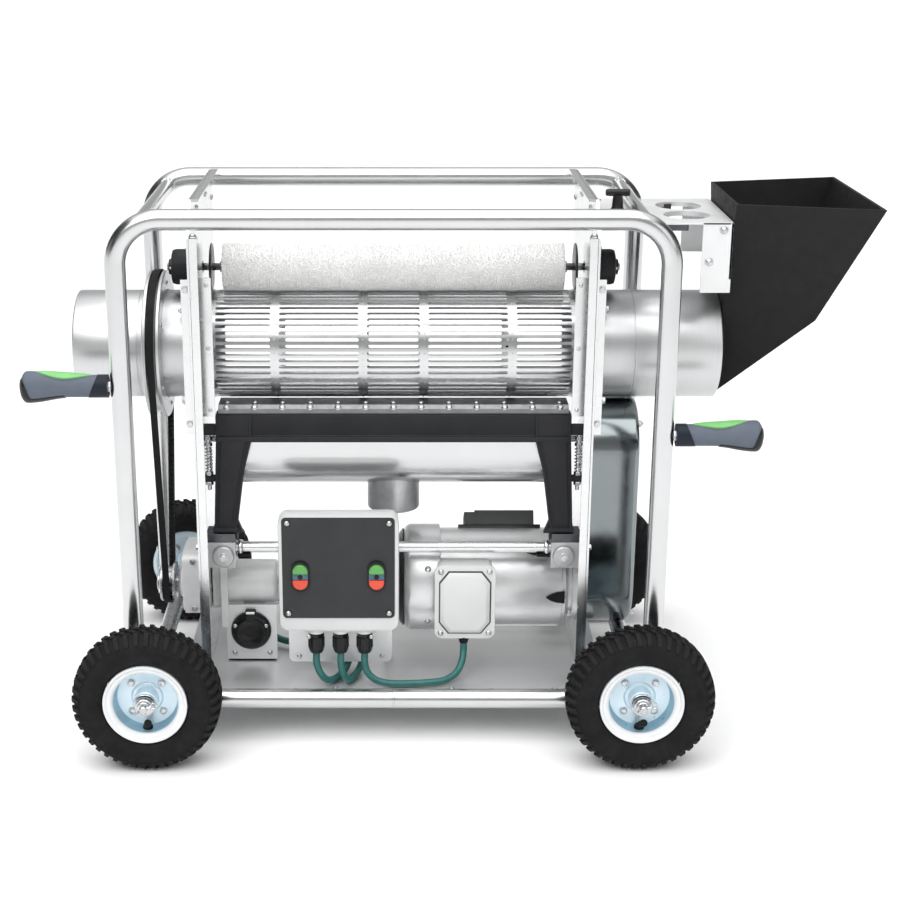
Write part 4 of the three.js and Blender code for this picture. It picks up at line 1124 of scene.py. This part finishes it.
def build_reel_drive():
    y = REEL.y
    reel, motor, belt = at("reel_pulley"), at("motor_pulley"), at("reel_belt")
    pulleys = (("reel_pulley", reel, "reel", 8.4, 27), ("motor_pulley", motor, "motor_rotor", 10, 43))
    for node, box, body, bore, teeth in pulleys:
        shape = Shape()
        rim = (box.z1 - box.z0) / 2 - 0.6
        timing_pulley(shape, (0, y, box.z), rim, bore, box.x0, box.x1, teeth)
        hub = [(bore, 0), (bore + 7, 0), (bore + 7, 5), (bore + 6, 6), (bore, 6)]
        shape.turned(hub, (box.x1, y, box.z), "x", 40, closed=True)
        piece(node + "_body", shape, ["steel"], body, [node])
    shape = Shape()
    path = belt_path((y, motor.z), (y, reel.z), 41, 25)
    toothed_belt(shape, path, belt.x0, belt.x1, 4, 1.3, 0.2)
    piece("reel_timing_belt", shape, ["teal"], replaces=["reel_belt"], crease=30)

    guard = at("belt_guard")
    top, bottom, radius, wall, fold = 420, 200, 75, 2.5, 7
    shape = Shape()
    # the cover's wall as (radius, X): up its outside, over the fold to the face, and back down its inside
    bend = guard.x1 - fold
    outer = [(radius, guard.x0), (radius, bend)]
    outer += [(radius - fold + fold * math.cos(t), bend + fold * math.sin(t)) for t in (0.4, 0.8, 1.2, 1.57)]
    inner = [(r - wall if r > radius - fold + 0.1 else r, x - wall if x > bend else x) for r, x in outer]
    face = [(radius * 0.4, guard.x1), (radius * 0.4, guard.x1 - wall)]
    rings = []
    for reach, x in [*outer, *face, *reversed(inner)]:
        rings.append([(x, a, b) for a, b in obround(y, bottom, top, reach)])
    shape.loft(rings, closed=True)
    shape.prism(obround(y, bottom, top, radius * 0.4 + 0.5), "x", guard.x1 - wall, guard.x1)
    shape.prism(obround(y, bottom, top, 44), "x", guard.x1 - 1, guard.x1 + 1.2)
    for level, degrees in ((top, 45), (top, 135), (bottom, -45), (bottom, -135)):
        place = spoke((0, y, level), 66.5, degrees)
        shape.rod(place, "x", 5, 294.3, guard.x1, 20, 1)
        shape.acorn_nut((guard.x1 - 0.5, place[1], place[2]), "x", 5.2, 1)
        shape.hexagon(place, "x", 7.5, 294.4, 300, 1)
        shape.hexagon(place, "x", 7.5, 313, 319, 1)
    piece("belt_guard_cover", shape, ["guard", "bolt"], replaces=["belt_guard"], bevel=0.4)


def build_chute():
    y, z, radius, wall, half = REEL.y, REEL.z, 71, 2, 258
    lip = 446

    def trough(outside, inside, level):
        """The section of a half-round trough between two radii, with upright edges up to a level."""
        return [(y - outside, level), *arc(y, z, outside, 180, 360, 48), (y + outside, level),
                (y + inside, level), *arc(y, z, inside, 360, 180, 48), (y - inside, level)]

    shape = Shape()
    shape.prism(trough(radius, radius - wall, lip), "x", -half, half)
    for side in SIDES.values():
        end = side * (half + 3)
        shape.prism(trough(radius - 0.5, radius - 9, lip - 1), "x", side * half, end)
        for degrees in (200, 250, 290, 340):
            shape.pan_screw(spoke((end, y, z), 65, degrees), (side, 0, 0), 3, 1)
    # the port is a plain tube, cut at its top to the trough's round underside, with a rolled lower edge
    port, low, around = 41, 318, 72
    rings = []
    for reach, level in ((port, None), (port, low + 1), (port - 0.6, low), (port - wall + 0.4, low),
                         (port - wall, low + 1), (port - wall, None)):
        ring = []
        for i in range(around):
            t = 2 * math.pi * i / around
            across = reach * math.sin(t)
            underside = z - math.sqrt((radius - 0.6) ** 2 - across ** 2)
            ring.append((reach * math.cos(t), y + across, underside if level is None else level))
        rings.append(ring)
    shape.loft(rings, paint=2, closed=True)
    piece("discharge_chute_trough", shape, ["polished", "bolt", "clamp"], replaces=["discharge_chute"],
          bevel=0.3)


# ---------------------------------------------------------------- drive motor


def build_drive_motor():
    y, z = MOTOR_AXIS
    shape = Shape()
    # fan cover with a rolled shoulder and a seam, then the stator with its fold lines
    fan_cover = [(0, 14), (22, 14), (24, 12), (26, 9.6), (60, 9), (68, 10), (76, 16), (83, 22), (85, 27),
                 (85, 72), (84.2, 74), (79, 74.3), (0, 74.3)]
    shape.turned(fan_cover, (0, y, z), "x", 96)
    # five rings of air slots in its end, drawn as raised dark prisms: their black is painted shade standing
    # in for the openings
    first, last = math.degrees(0.04), math.degrees(0.44)
    for reach in range(28, 68, 8):
        for turn in range(0, 360, 30):
            far = arc(y, z, reach + 2.6, turn + first, turn + last, 4)
            near = arc(y, z, reach, turn + last, turn + first, 4)
            shape.prism(far + near, "x", 7.6, 10.5, paint=2)
    # a dark louvred band round the shoulder: its black is painted shade standing in for the louvre openings
    shape.turned([(69, 9.8), (77.5, 16.2), (78.6, 15.0), (70, 8.8)], (0, y, z), "x", 96, 2, closed=True)
    shape.turned([(0, 70), (78, 70), (78, 262), (76.5, 265), (70, 266), (0, 266)], (0, y, z), "x", 96)
    for degrees in (118, 124, 242, 236, 62, 298):
        shape.rod(spoke((0, y, z), 78, degrees), "x", 1.3, 76, 262, 10)
    for degrees in (150, 214, 30, 330):
        shape.pan_screw(spoke((54, y, z), 84.6, degrees), outward(degrees), 5, 1)
    # end shield and mounting flange
    shield = [(0, 262), (70, 262), (72, 264), (72, 270), (70, 272), (60, 276), (60, 281), (70, 282),
              (70, 289.7), (0, 289.7)]
    shape.turned(shield, (0, y, z), "x", 72)
    for degrees in (45, 135, 225, 315):
        shape.hex_bolt(spoke((282, y, z), 62, degrees), (-1, 0, 0), 6, 1)
    shape.rod((0, y, z), "x", 9.5, 285, 360, 32, 1)
    # capacitor cover on a black gasket, leaning back from the crown, with a stepped end
    lean = math.radians(35)

    def on_stator(outline):
        """Turns (towards the front, out from the axis) into the (y, z) of a section across the motor."""
        return [(y - front * math.cos(lean) + out * math.sin(lean),
                 z + front * math.sin(lean) + out * math.cos(lean)) for front, out in outline]

    shape.prism(on_stator(rounded(-26, 26, 70, 80, 1.5)), "x", 104, 236, paint=2)
    shape.prism(on_stator(rounded(-22, 22, 76, 102, 3)), "x", 114, 133, paint=3)
    shape.prism(on_stator(rounded(-22, 22, 76, 105, 3)), "x", 131, 226, paint=3)
    for x in (109, 231):
        (spot_y, spot_z), = on_stator([(17, 80)])
        shape.pan_screw((x, spot_y, spot_z), (0, math.sin(lean), math.cos(lean)), 3, 1)
    # black lugs that reach from the flange along the stator
    for degrees, first in ((126, 204), (182, 239)):
        t = math.radians(degrees)
        rings = []
        for x, wide in ((first, 0.01), (first + 7, 0.07), (first + 16, 0.11), (268, 0.13)):
            corners = ((77, -wide), (80.5, -wide), (80.5, wide), (77, wide))
            rings.append([(x, y + r * math.cos(t + a), z + r * math.sin(t + a)) for r, a in corners])
        shape.loft(rings, 2)
    piece("drive_motor_casing", shape, ["motor_shell", "bolt", "trim", "cover"], replaces=["drive_motor"],
          bevel=0.4)

    box = at("motor_terminal_box")
    shape = Shape()
    cover_back = box.y0 + 9
    shape.prism(rounded(box.x0 + 4, box.x1 - 4, 136, box.z1 - 4, 9), "y", cover_back, -70)
    shape.prism(rounded(box.x0, box.x1, 132, box.z1, 12, 8), "y", box.y0 + 3, cover_back)
    middle_z, cut = (132 + box.z1) / 2, 0.36
    octagon = ((1, 1 - cut), (1 - cut, 1), (-1 + cut, 1), (-1, 1 - cut), (-1, -1 + cut), (-1 + cut, -1),
               (1 - cut, -1), (1, -1 + cut))

    def plate(half_x, half_z, depth):
        return [(box.x + a * half_x, box.y0 + depth, middle_z + b * half_z) for a, b in octagon]

    # the raised plate of the lid, and round it a dark band whose colour is painted shade standing in for a
    # groove
    shape.loft([plate(38.5, 50.5, 3.4), plate(38.5, 50.5, 1.4), plate(33.5, 45.5, -2.6), plate(32, 44, -3)])
    shape.loft([plate(40.6, 52.6, 3.4), plate(40.6, 52.6, 2.4), plate(38, 50, 1.2)], 2)
    for x in (box.x0 + 9.5, box.x1 - 9.5):
        for level in (141.5, box.z1 - 9.5):
            shape.pan_screw((x, box.y0 + 3, level), (0, -1, 0), 4.6, 1)
    boot = [(0, 133), (9.5, 133), (9.5, 130), (8, 128), (6.6, 122.2), (0, 122.2)]
    x, y, _ = ROUTES["cutter_cable"][-1]
    shape.turned(boot, (x, y, 0), "z", 32, 3)
    piece("motor_terminal_box_cover", shape, ["enamel", "bolt", "dark_steel", "rubber"],
          replaces=["motor_terminal_box"], bevel=0.8)


# ---------------------------------------------------------------- controls


def cap_outline(x, action, inset):
    """A push-button's D shape: a round end away from the middle of its pair, and a flat side towards it."""
    radius = 11.5 - inset
    if action == "start":
        return [*arc(x, 268.5, radius, 0, 180, 20), (x - radius, 265 + inset), (x + radius, 265 + inset)]
    return [*arc(x, 251.5, radius, 180, 360, 20), (x + radius, 255 - inset), (x - radius, 255 - inset)]


def build_controls():
    box, panel = at("control_box"), at("control_panel")
    shape = Shape()
    rings = []
    for inset, y in ((3.2, box.y0), (1.0, box.y0 + 1.2), (0, box.y0 + 4.5), (0, box.y1 - 6),
                     (1.5, box.y1 - 2), (5, box.y1)):
        outline = rounded(box.x0 + inset, box.x1 - inset, box.z0 + inset, box.z1 - inset, 14 - inset * 0.6, 8)
        rings.append(facing(outline, y))
    shape.loft(rings)
    # the parting line between lid and box
    seam = rounded(box.x0 - 0.4, box.x1 + 0.4, box.z0 - 0.4, box.z1 + 0.4, 14, 8)
    shape.prism(seam, "y", box.y0 + 22, box.y0 + 24)
    piece("control_box_shell", shape, ["enamel"], replaces=["control_box"], crease=40)

    face = box.y0 - 0.3
    shape = Shape()
    outline = rounded(panel.x0, panel.x1, panel.z0, panel.z1, 6, 6)
    columns = {drive: at(drive + "_stop_button").x for drive in ("tumbler", "cutter")}
    bores = {x: [cap_outline(x, action, -0.4) for action in ("start", "stop")] for x in columns.values()}
    wells = [bore for pair in bores.values() for bore in pair]
    shape.prism(outline, "y", face - 2, face, holes=wells)
    border = rounded(panel.x0 - 0.5, panel.x1 + 0.5, panel.z0 - 0.5, panel.z1 + 0.5, 6.5, 6)
    shape.prism(border, "y", face - 0.6, face, holes=wells, paint=1)
    for x in (panel.x0 + 8, panel.x1 - 8):
        for level in (panel.z0 + 8, panel.z1 - 8):
            shape.washer((x, face - 2, level), (0, -1, 0), 5.2, 0.7, 1)
            shape.pan_screw((x, face - 2.6, level), (0, -1, 0), 4.2, 2)
    for x, pair in bores.items():
        bezel = rounded(x - 14, x + 14, 234.8, 285.2, 13.8, 12)
        step = rounded(x - 13.2, x + 13.2, 236, 284, 13.1, 12)
        shape.prism(bezel, "y", face - 4.2, face - 1, holes=pair, paint=1)
        shape.prism(step, "y", face - 6, face - 4, holes=pair, paint=1)
        # the blue band between the two caps, with a round dark lens in it
        shape.box((x - 11.4, x + 11.4), (face - 7, face - 3), (255.8, 264.2), 3)
        lens = [(0, 0), (3.9, 0), (3.6, 1.0), (2.4, 1.5), (0, 1.6)]
        shape.turned(lens, (x, face - 7, 260), (0, -1, 0), 28, 1)
    piece("control_panel_face", shape, ["panel", "trim", "bolt", "lens"], replaces=["control_panel"],
          bevel=0.35)

    for drive, x in columns.items():
        for action, colour in (("stop", "red"), ("start", "green")):
            node = f"{drive}_{action}_button"
            button = at(node)
            shape = Shape()
            rings = []
            for inset, y in ((0, button.y1), (0, button.y0 + 1.6), (0.3, button.y0 + 0.7),
                             (0.9, button.y0 + 0.2), (1.8, button.y0)):
                rings.append(facing(cap_outline(x, action, inset), y))
            shape.loft(rings)
            piece(node + "_cap", shape, [colour], f"{drive}_{action}", [node])

    gland = at("gland_plate")
    shape = Shape()
    top = gland.z1
    shape.prism(rounded(-136, -28, gland.y0, gland.y1, 4), "z", top - 3, top, paint=1)
    # each gland: a collar under the plate, a nut, and a ribbed dome that the cable leaves
    collar = [(0, 165), (13.5, 165), (14.5, 163.5), (14.5, 160), (12.8, 159), (0, 159)]
    dome = [(0, 152), (11.4, 152), (12, 150), (12, 134), (11.3, 129), (9.6, 125.2), (7.4, 124), (0, 124)]
    for x, y, _ in (route[0] for route in ROUTES.values()):
        shape.turned(collar, (x, y, 0), "z", 40, 1)
        shape.hexagon((x, y, 160), (0, 0, -1), 12.6, 0, 8.5)
        shape.turned(dome, (x, y, 0), "z", 40)
        for rib_x, rib_y in circle(x, y, 11.8, 16):
            shape.rod((rib_x, rib_y, 0), "z", 1.0, 133, 151, 8)
    for x in (-130, -34):
        shape.pan_screw((x, gland.y0, 156), (0, -1, 0), 3.4, 2)
    piece("gland_plate_fittings", shape, ["trim", "enamel", "bolt"], replaces=["gland_plate"], bevel=0.4)

    stand = at("control_stand")
    shape = Shape()
    shelf = 167.7
    shape.box((stand.x0, stand.x1), (-132, -40), (shelf - 3, shelf))
    shape.prism(rounded(-150, -16, 165, stand.z1, 6), "y", -122.7, -119.7)
    shape.prism(rounded(stand.x0, stand.x1, 88, 167.5, 9), "y", -104, -101)
    for x0, x1 in ((-164, -150), (-16, -2)):
        shape.box((x0, x1), (-43, -40), (stand.z0, shelf))
        shape.box((x0, x1), (-43, -22), (stand.z0, stand.z0 + 3))
        shape.pan_screw(((x0 + x1) / 2, -31, stand.z0 + 3), "z", 4, 1)
    for x in (-148, -18):
        shape.pan_screw((x, -104, 98), (0, -1, 0), 4, 1)
        shape.pan_screw((x * 0.9, -119.7, 212), (0, 1, 0), 3.6, 1)
    piece("control_stand_sheet", shape, ["pale_sheet", "bolt"], replaces=["control_stand"], bevel=0.5)

    build_inlet()


def build_inlet():
    inlet, cap = at("inlet_socket"), at("inlet_cap")
    x, z, y = cap.x, inlet.z0 + 53.7, -58
    shape = Shape()
    plate = rounded(inlet.x0, inlet.x1, inlet.z0, inlet.z1, 4)
    shape.prism(plate, "y", y, y + 3, holes=[circle(x, z, 20.5, 40)], paint=2)
    shape.box((inlet.x0, inlet.x1), (y, y + 12), (inlet.z0, inlet.z0 + 3), 2)
    shape.turned(
        [(18, -36 - y), (18, -8), (19.5, -9.5), (26, -9.6), (29.5, -8.6), (31.4, -6), (32, -2), (32, 0),
         (20.2, 0), (20.2, 28)],
        (x, y, z), "y", 72, closed=True,
    )
    shape.rod((x, 0, z), "y", 18.6, -40, -34, 40)
    for degrees in (45, 135, 225, 315):
        shape.rod(spoke((x, 0, z), 8, degrees, "y"), "y", 2.2, -60, -38, 14, 1)
    for side in SIDES.values():
        shape.pan_screw((x + side * 24.4, y - 9.2, z + 11), (0, -1, 0), 3.4, 1)
    shape.prism(rounded(x - 8.5, x + 8.5, z + 24, z + 36.5, 2.5), "y", y - 7, y)
    for corner_x in (inlet.x0 + 12, inlet.x1 - 12):
        shape.pan_screw((corner_x, y, inlet.z0 + 14), (0, -1, 0), 4.2, 1)
    piece("inlet_socket_body", shape, ["trim", "bolt", "pale_sheet"], replaces=["inlet_socket"], bevel=0.5)

    shape = Shape()
    front = cap.y0
    lid = [(0, 3.3), (22.5, 3.2), (24, 2.4), (24, 1.2), (23.2, 0), (21, -0.4), (19.6, 0.2), (17.5, 1.7),
           (9, 2.3), (0, 2.4)]
    shape.turned(lid, (x, front + 0.6, z), "y", 64)
    shape.prism(rounded(x - 6.5, x + 6.5, z + 18, z + 33, 2), "y", front + 0.4, front + 3.6)
    shape.rod((x - 7, front + 2.4, z + 33.4), "x", 2.3, 0, 14, 20, 1)
    piece("inlet_cap_lid", shape, ["trim", "bolt"], "inlet_lid", ["inlet_cap"], bevel=0.4)


# ---------------------------------------------------------------- infeed and handles


def hopper_half_depth(x, z):
    """Half the hopper's depth: less towards its tip, more away from the machine."""
    return 103 + 0.235 * (x - 495) - 0.288 * (812 - z)


def build_infeed():
    box = at("hopper")
    left, top, tip = box.x0, box.z1, box.z0
    shape = Shape()
    wall = 4
    outline = [(left, top), (box.x1, top), (627, 635), (left, tip)]
    inner = [(left + wall, top), (box.x1 - wall - 1, top), (623.5, 637.5), (left + wall, tip + 7)]

    def ring(corners, sign, inset):
        return [Vector((x, sign * (hopper_half_depth(x, z) - inset), z)) for x, z in corners]

    out_front, out_back = ring(outline, -1, 0), ring(outline, 1, 0)
    in_front, in_back = ring(inner, -1, wall), ring(inner, 1, wall)
    around = 32
    mouth = circle(0, 584.5, 68, around)
    mouth_out = [Vector((left, a, b)) for a, b in mouth]
    mouth_in = [Vector((left + wall, a, b)) for a, b in mouth]
    points = out_front + out_back + in_front + in_back + mouth_out + mouth_in
    faces = [[0, 1, 2, 3], [4, 5, 6, 7], [1, 5, 6, 2], [2, 6, 7, 3], [8, 9, 10, 11], [12, 13, 14, 15],
             [9, 13, 14, 10], [10, 14, 15, 11], [0, 1, 9, 8], [1, 5, 13, 9], [5, 4, 12, 13], [4, 0, 8, 12]]

    def wall_with_hole(corners, hole_first):
        flat = [[Vector((points[i].y, points[i].z, 0)) for i in corners],
                [Vector((p.y, p.z, 0)) for p in points[hole_first:hole_first + around]]]
        index = [*corners, *range(hole_first, hole_first + around)]
        return [[index[i] for i in t] for t in tessellate_polygon(flat)]

    # sixteen corners come before the two circles of the mouth
    first, second = 16, 16 + around
    faces += wall_with_hole([0, 3, 7, 4], first)
    faces += wall_with_hole([8, 11, 15, 12], second)
    for i in range(around):
        j = (i + 1) % around
        faces.append([first + i, first + j, second + j, second + i])
    shape.add(points, faces)
    piece("hopper_shell", shape, ["plastic"], "infeed_hopper", ["hopper"], bevel=1.1, crease=30)

    bracket = at("hopper_bracket")
    shape = Shape()
    x0, x1, depth, high = bracket.x0, bracket.x1, bracket.y1, bracket.z1
    thick = 3
    windows = [circle(435, y, 34.5, 64) for y in (-40, 40)] + [circle(337, 0, 4.8, 24)]
    shape.prism(rounded(x0, x1, -depth, depth, 4), "z", high - thick, high, holes=windows)
    shape.box((x1 - thick, x1), (-depth, depth), (702, high - 0.5))
    shape.prism([(449, 682), (x1, 682), (x1, high - 0.5), (449, high - 0.5)], "y", -depth, -depth + thick)
    shape.prism([(453, 702), (x1, 702), (x1, high - 0.5), (453, high - 0.5)], "y", depth - thick, depth)
    for y in (-40, 40):
        collar = [(34.5, 0.2), (36.8, 0.2), (36.2, -3), (34.5, -4.6)]
        shape.turned(collar, (435, y, high - thick), "z", 64, closed=True)
    for x, z in ((479, 775), (460, 728)):
        shape.washer((x, -depth, z), (0, -1, 0), 6.5, 0.8, 1)
        shape.pan_screw((x, -depth - 0.8, z), (0, -1, 0), 5, 1)
        shape.hex_bolt((x, depth, z), (0, 1, 0), 5, 1)
    for y in (-85, 85):
        for x in (318, 380):
            shape.pan_screw((x, y, high), "z", 4.6, 1)
    for y in (-92, 70):
        shape.prism(rounded(398, 430, y, y + 22, 3), "z", high - 14, high - thick, paint=2)
    piece("hopper_bracket_sheet", shape, ["pale_sheet", "bolt", "dark_steel"], replaces=["hopper_bracket"],
          bevel=0.5)

    knob = at("clamp_knob")
    shape = Shape()
    x, base = knob.x, high + 0.3
    shape.rod((x, 0, 0), "z", 4, knob.z0, knob.z1 - 4, 24, 1)
    neck = [(0, base), (10, base), (10, base + 2), (8.6, base + 4), (7.4, knob.z1 - 12), (8, knob.z1 - 9),
            (0, knob.z1 - 9)]
    shape.turned(neck, (x, 0, 0), "z", 40)
    # the cross bar: (distance from its middle, half width, half height)
    bar = [(18.5, 2.2, 3.6), (17.5, 4.6, 5), (12, 6.3, 5.7), (5, 5.6, 5.4)]
    bar = [(-distance, wide, deep) for distance, wide, deep in bar] + [(0, 5.6, 5.6), *reversed(bar)]
    centre = knob.z1 - 5.75
    rings = []
    for distance, wide, deep in bar:
        rings.append([(x + distance, wide * a, centre + deep * b) for a, b in circle(0, 0, 1, 28)])
    shape.loft(rings)
    piece("clamp_knob_tee", shape, ["trim", "bolt"], "knob", ["clamp_knob"])


def build_handles():
    for name, side in SIDES.items():
        grip = at(name + "_handle")
        start, end = (grip.x1, grip.x0) if side < 0 else (grip.x0, grip.x1)
        length = abs(end - start)
        centre_y, centre_z = grip.y, (grip.z0 + grip.z1) / 2

        def section(t, swell=0.0):
            """The grip's oval at a share of its length: (middle height, half height, half width)."""
            rise = min(1.0, max(0.0, (t - 0.45) / 0.45))
            flare = rise * rise * (3 - 2 * rise)
            close = 1.0 if t < 0.92 else math.sqrt(max(0.05, 1 - ((t - 0.92) / 0.083) ** 2))
            high = (16.2 + 6.6 * flare) * close
            wide = (14.6 + 2.6 * flare) * close
            return -0.8 * flare, high + swell, wide + swell

        def skin(first, last, steps, swell, slant=0.0):
            """Rings along the grip; a slant carries the last ring further along at the foot than on top."""
            rings = []
            for i in range(steps + 1):
                t = first + (last - first) * i / steps
                middle, high, wide = section(t, swell)
                lean = slant * (t - first) / (last - first)
                ring = []
                for a, b in circle(0, 0, 1, 40):
                    x = start + side * (length * t - lean * b)
                    ring.append((x, centre_y + a * wide, centre_z + middle + b * high))
                rings.append(ring)
            return rings

        def crescent(x, outline, turns, thickness):
            """A ring over part of the grip's oval: out along the turns, in degrees, and back inside them."""
            middle, high, wide = outline
            ring = []
            for inset, along in ((0, turns), (thickness, reversed(turns))):
                for degrees in along:
                    a, b = math.cos(math.radians(degrees)), math.sin(math.radians(degrees))
                    ring.append((x, centre_y + (wide - inset) * a, centre_z + middle + (high - inset) * b))
            return ring

        shape = Shape()
        shape.loft(skin(0.14, 1.0, 44, 0.0), 0)
        shape.loft(skin(0.02, 0.19, 10, 0.8, 7.0), 1)
        # the dark sole that wraps the far end and runs back underneath
        rings = []
        steps = 30
        for i in range(steps + 1):
            t = 0.50 + 0.50 * i / steps
            lift = -0.72 + 1.74 * max(0.0, (t - 0.88) / 0.12) ** 0.7
            edge = math.degrees(math.asin(max(-0.999, min(0.999, lift * 0.98 + 0.12 * (1 - abs(lift))))))
            reach = max(8.0, 90 + edge)
            turns = [-90 + reach * (2 * k / 24 - 1) for k in range(25)]
            rings.append(crescent(start + side * (length * t + 1.2), section(t, 1.3), turns, 1.6))
        shape.loft(rings, 2)
        # the green inlay on top, a long lens shape
        rings = []
        steps = 24
        for i in range(steps + 1):
            t = 0.20 + 0.62 * i / steps
            fullness = math.sin(math.pi * i / steps)
            half = 4 + 36 * fullness**0.8
            turns = [90 + half * (2 * k / 16 - 1) for k in range(17)]
            rings.append(crescent(start + side * length * t, section(t, 0.6 + 3.4 * fullness), turns, 5.4))
        shape.loft(rings, 3)
        shape.rod((start, centre_y, centre_z - 1), (side, 0, 0), 5.2, -14, 12, 24, 4)
        shape.hexagon((start, centre_y, centre_z - 1), (side, 0, 0), 8.2, -1, 4, 4)
        piece(name + "_handle_grip", shape, ["grip", "navy", "trim", "grip_green", "bolt"],
              replaces=[name + "_handle"], crease=40)


# ---------------------------------------------------------------- wheels

WHEEL = SimpleNamespace(radius=110, lugs=44)
# from the bead on the rim to the tread: (radius, half width)
TYRE_SIDE = [(63.4, 24.0), (65.5, 27.2), (67.5, 28.8), (69.0, 29.2), (72, 30.8), (77, 32.4), (82, 33.1),
             (88, 33.0), (92.5, 32.0), (97, 29.8), (101.4, 25.6), (104.8, 18.5), (106.4, 9.0)]


def build_tyre(node, body):
    box = at(node)
    x, y, z = box.x, box.y, WHEEL.radius
    shape = Shape()
    profile = [(r, -w) for r, w in TYRE_SIDE] + [(r, w) for r, w in reversed(TYRE_SIDE)]
    shape.turned(profile, (x, y, z), "y", 120, closed=True)

    def lug(turn, width, top, base, skew):
        """A tread block: the outline top then base, in (radius, distance), between two angles."""
        rings = []
        for end in (-1, 1):
            ring = []
            for k, (r, w) in enumerate(top + list(reversed(base))):
                narrow = 0.82 if k < len(top) else 1.05
                t = turn + end * width * narrow + skew * abs(w)
                ring.append((x + r * math.cos(t), y + w, z + r * math.sin(t)))
            rings.append(ring)
        shape.loft(rings)

    pitch = 2 * math.pi / WHEEL.lugs
    shoulder = [(109.7, 12.5), (109.0, 17.5), (106.8, 23), (103.4, 27.8), (99.6, 31.0), (97.2, 32.0)]
    under = [(104.5, 12.5), (103.6, 17.5), (101.4, 22), (98.8, 26), (96.4, 28.6), (94.6, 29.6)]
    centre = [(110, 1.2), (110, 6.0), (109.9, 10.6)]
    under_centre = [(105, 1.2), (105, 6.0), (105, 10.6)]
    for side in (-1, 1):
        outer, base, inner, inner_base = [
            [(r, side * w) for r, w in outline] for outline in (shoulder, under, centre, under_centre)
        ]
        for i in range(WHEEL.lugs):
            turn = pitch * (i + 0.25 * side)
            lug(turn, pitch * 0.27, outer, base, 0.0009 * side)
            lug(turn + pitch * 0.5, pitch * 0.27, inner, inner_base, 0.006 * side)
    piece(node + "_tread", shape, ["tyre"], body, [node], crease=30)


def build_rim(node, body, sign):
    box = at(node)
    place = (box.x, box.y, WHEEL.radius)
    out = (0, sign, 0)
    shape = Shape()
    # the pressed rim: a set-back web with a hub seat, a deep barrel, and a wide rolled lip
    web = [(9, -3.0), (9, -0.6), (20.4, -0.6), (22.2, -1.4), (24.0, -3.4), (41.0, -3.6), (44.4, -3.0)]
    barrel = [(46.4, -0.4), (47.4, 5.0), (48.0, 18.0)]
    lip = [(49.4, 20.6), (52.6, 22.8), (54.6, 23.2), (56.0, 22.8), (57.6, 24.6), (59.6, 25.8), (61.4, 25.6),
           (62.3, 24.2), (62.3, 22.8), (61.2, 21.6)]
    back = [(61.2, -22.0), (62.3, -23.6), (62.3, -25.4), (60.8, -26.4), (56.6, -26.4), (52.0, -24.0),
            (50.4, -20.0), (50.0, -9.0), (48.0, -6.8), (44.4, -6.4), (24.4, -6.4), (20.4, -3.4)]
    around = 96
    shape.turned(web + barrel + lip + back, place, out, around, 0, closed=True)
    # the barrel is painted darker as painted shade in its deep recess, and the lip paler as a painted
    # highlight on its rolled edge
    barrel_first = len(web) - 1
    lip_first = barrel_first + len(barrel)
    lip_last = lip_first + len(lip)
    for index in range(len(shape.faces)):
        ring = index // around
        if barrel_first <= ring < lip_first:
            shape.paints[index] = 4
        elif lip_first <= ring < lip_last:
            shape.paints[index] = 1
    # hub tube with a bearing seat, a washer stack and the bolts of the split rim
    for paint_number, profile in (
        (0, [(7, -28), (16, -28), (18, -26.5), (18, 18), (16.6, 20), (7, 20)]),
        (2, [(7, 20), (16.4, 20), (16.4, 23.4), (15.8, 24), (7, 24)]),
        (3, [(7, 24), (12.4, 24), (12.4, 27), (7, 27)]),
        (2, [(7, 27), (14.6, 27), (14.6, 29.6), (7, 29.6)]),
        (3, [(7, 29.6), (9.4, 29.6), (9.4, 33.4), (7, 34)]),
    ):
        shape.turned(profile, place, out, 48, paint_number, closed=True)
    nut = [(0, 0.6), (5.2, 0.6), (5.2, 2.2), (4.2, 3.6), (2.4, 4.2), (0, 4.3)]
    for degrees in (45, 135, 225, 315):
        spot = spoke((box.x, box.y - 3.7 * sign, WHEEL.radius), 32, degrees, "y")
        shape.washer(spot, out, 6.6, 0.8, 2)
        shape.turned(nut, spot, out, 28, 2)
        behind = spoke((box.x, box.y - 6.4 * sign, WHEEL.radius), 32, degrees, "y")
        shape.hex_bolt(behind, (0, -sign, 0), 6, 2)
    # the valve: a black rubber stem at the foot of the web, bent outwards, with a knurled cap
    stem = [(box.x + dx, box.y + sign * dy, WHEEL.radius - 46.5 + dz)
            for dx, dy, dz in ((0, 4, 0), (0, 9, 5), (0.5, 15, 11), (3, 22, 16))]
    shape.tube(smooth_path(stem), 4.8, 20, 3)
    valve_cap = [(0, -1), (5.4, -1), (5.6, 0), (5.4, 6), (4.2, 7.4), (0, 7.6)]
    seat = [(0, 0), (7.6, 0), (7.4, 2.6), (5, 4.4), (0, 4.4)]
    shape.turned(valve_cap, stem[-1], (0.1, sign, 0.6), 14, 3)
    shape.turned(seat, stem[0], (0, sign, 0.9), 24, 3)
    piece(node + "_dish", shape, ["zinc", "zinc_lip_painted_highlight", "bolt", "rubber", "zinc_barrel_painted_shade"], body, [node])


def build_wheels():
    for end, sign in (("front", -1), ("rear", 1)):
        for name in SIDES:
            body = f"{end}_{name}_wheel"
            build_tyre(f"{end}_{name}_tyre", body)
            build_rim(f"{end}_{name}_rim", body, sign)


build_frame()
build_side_plates()
build_tumbler()
build_rollers()
build_gear_motor()
build_brush()
build_cutter()
build_drive_motor()
build_controls()
build_infeed()
build_handles()
build_wheels()
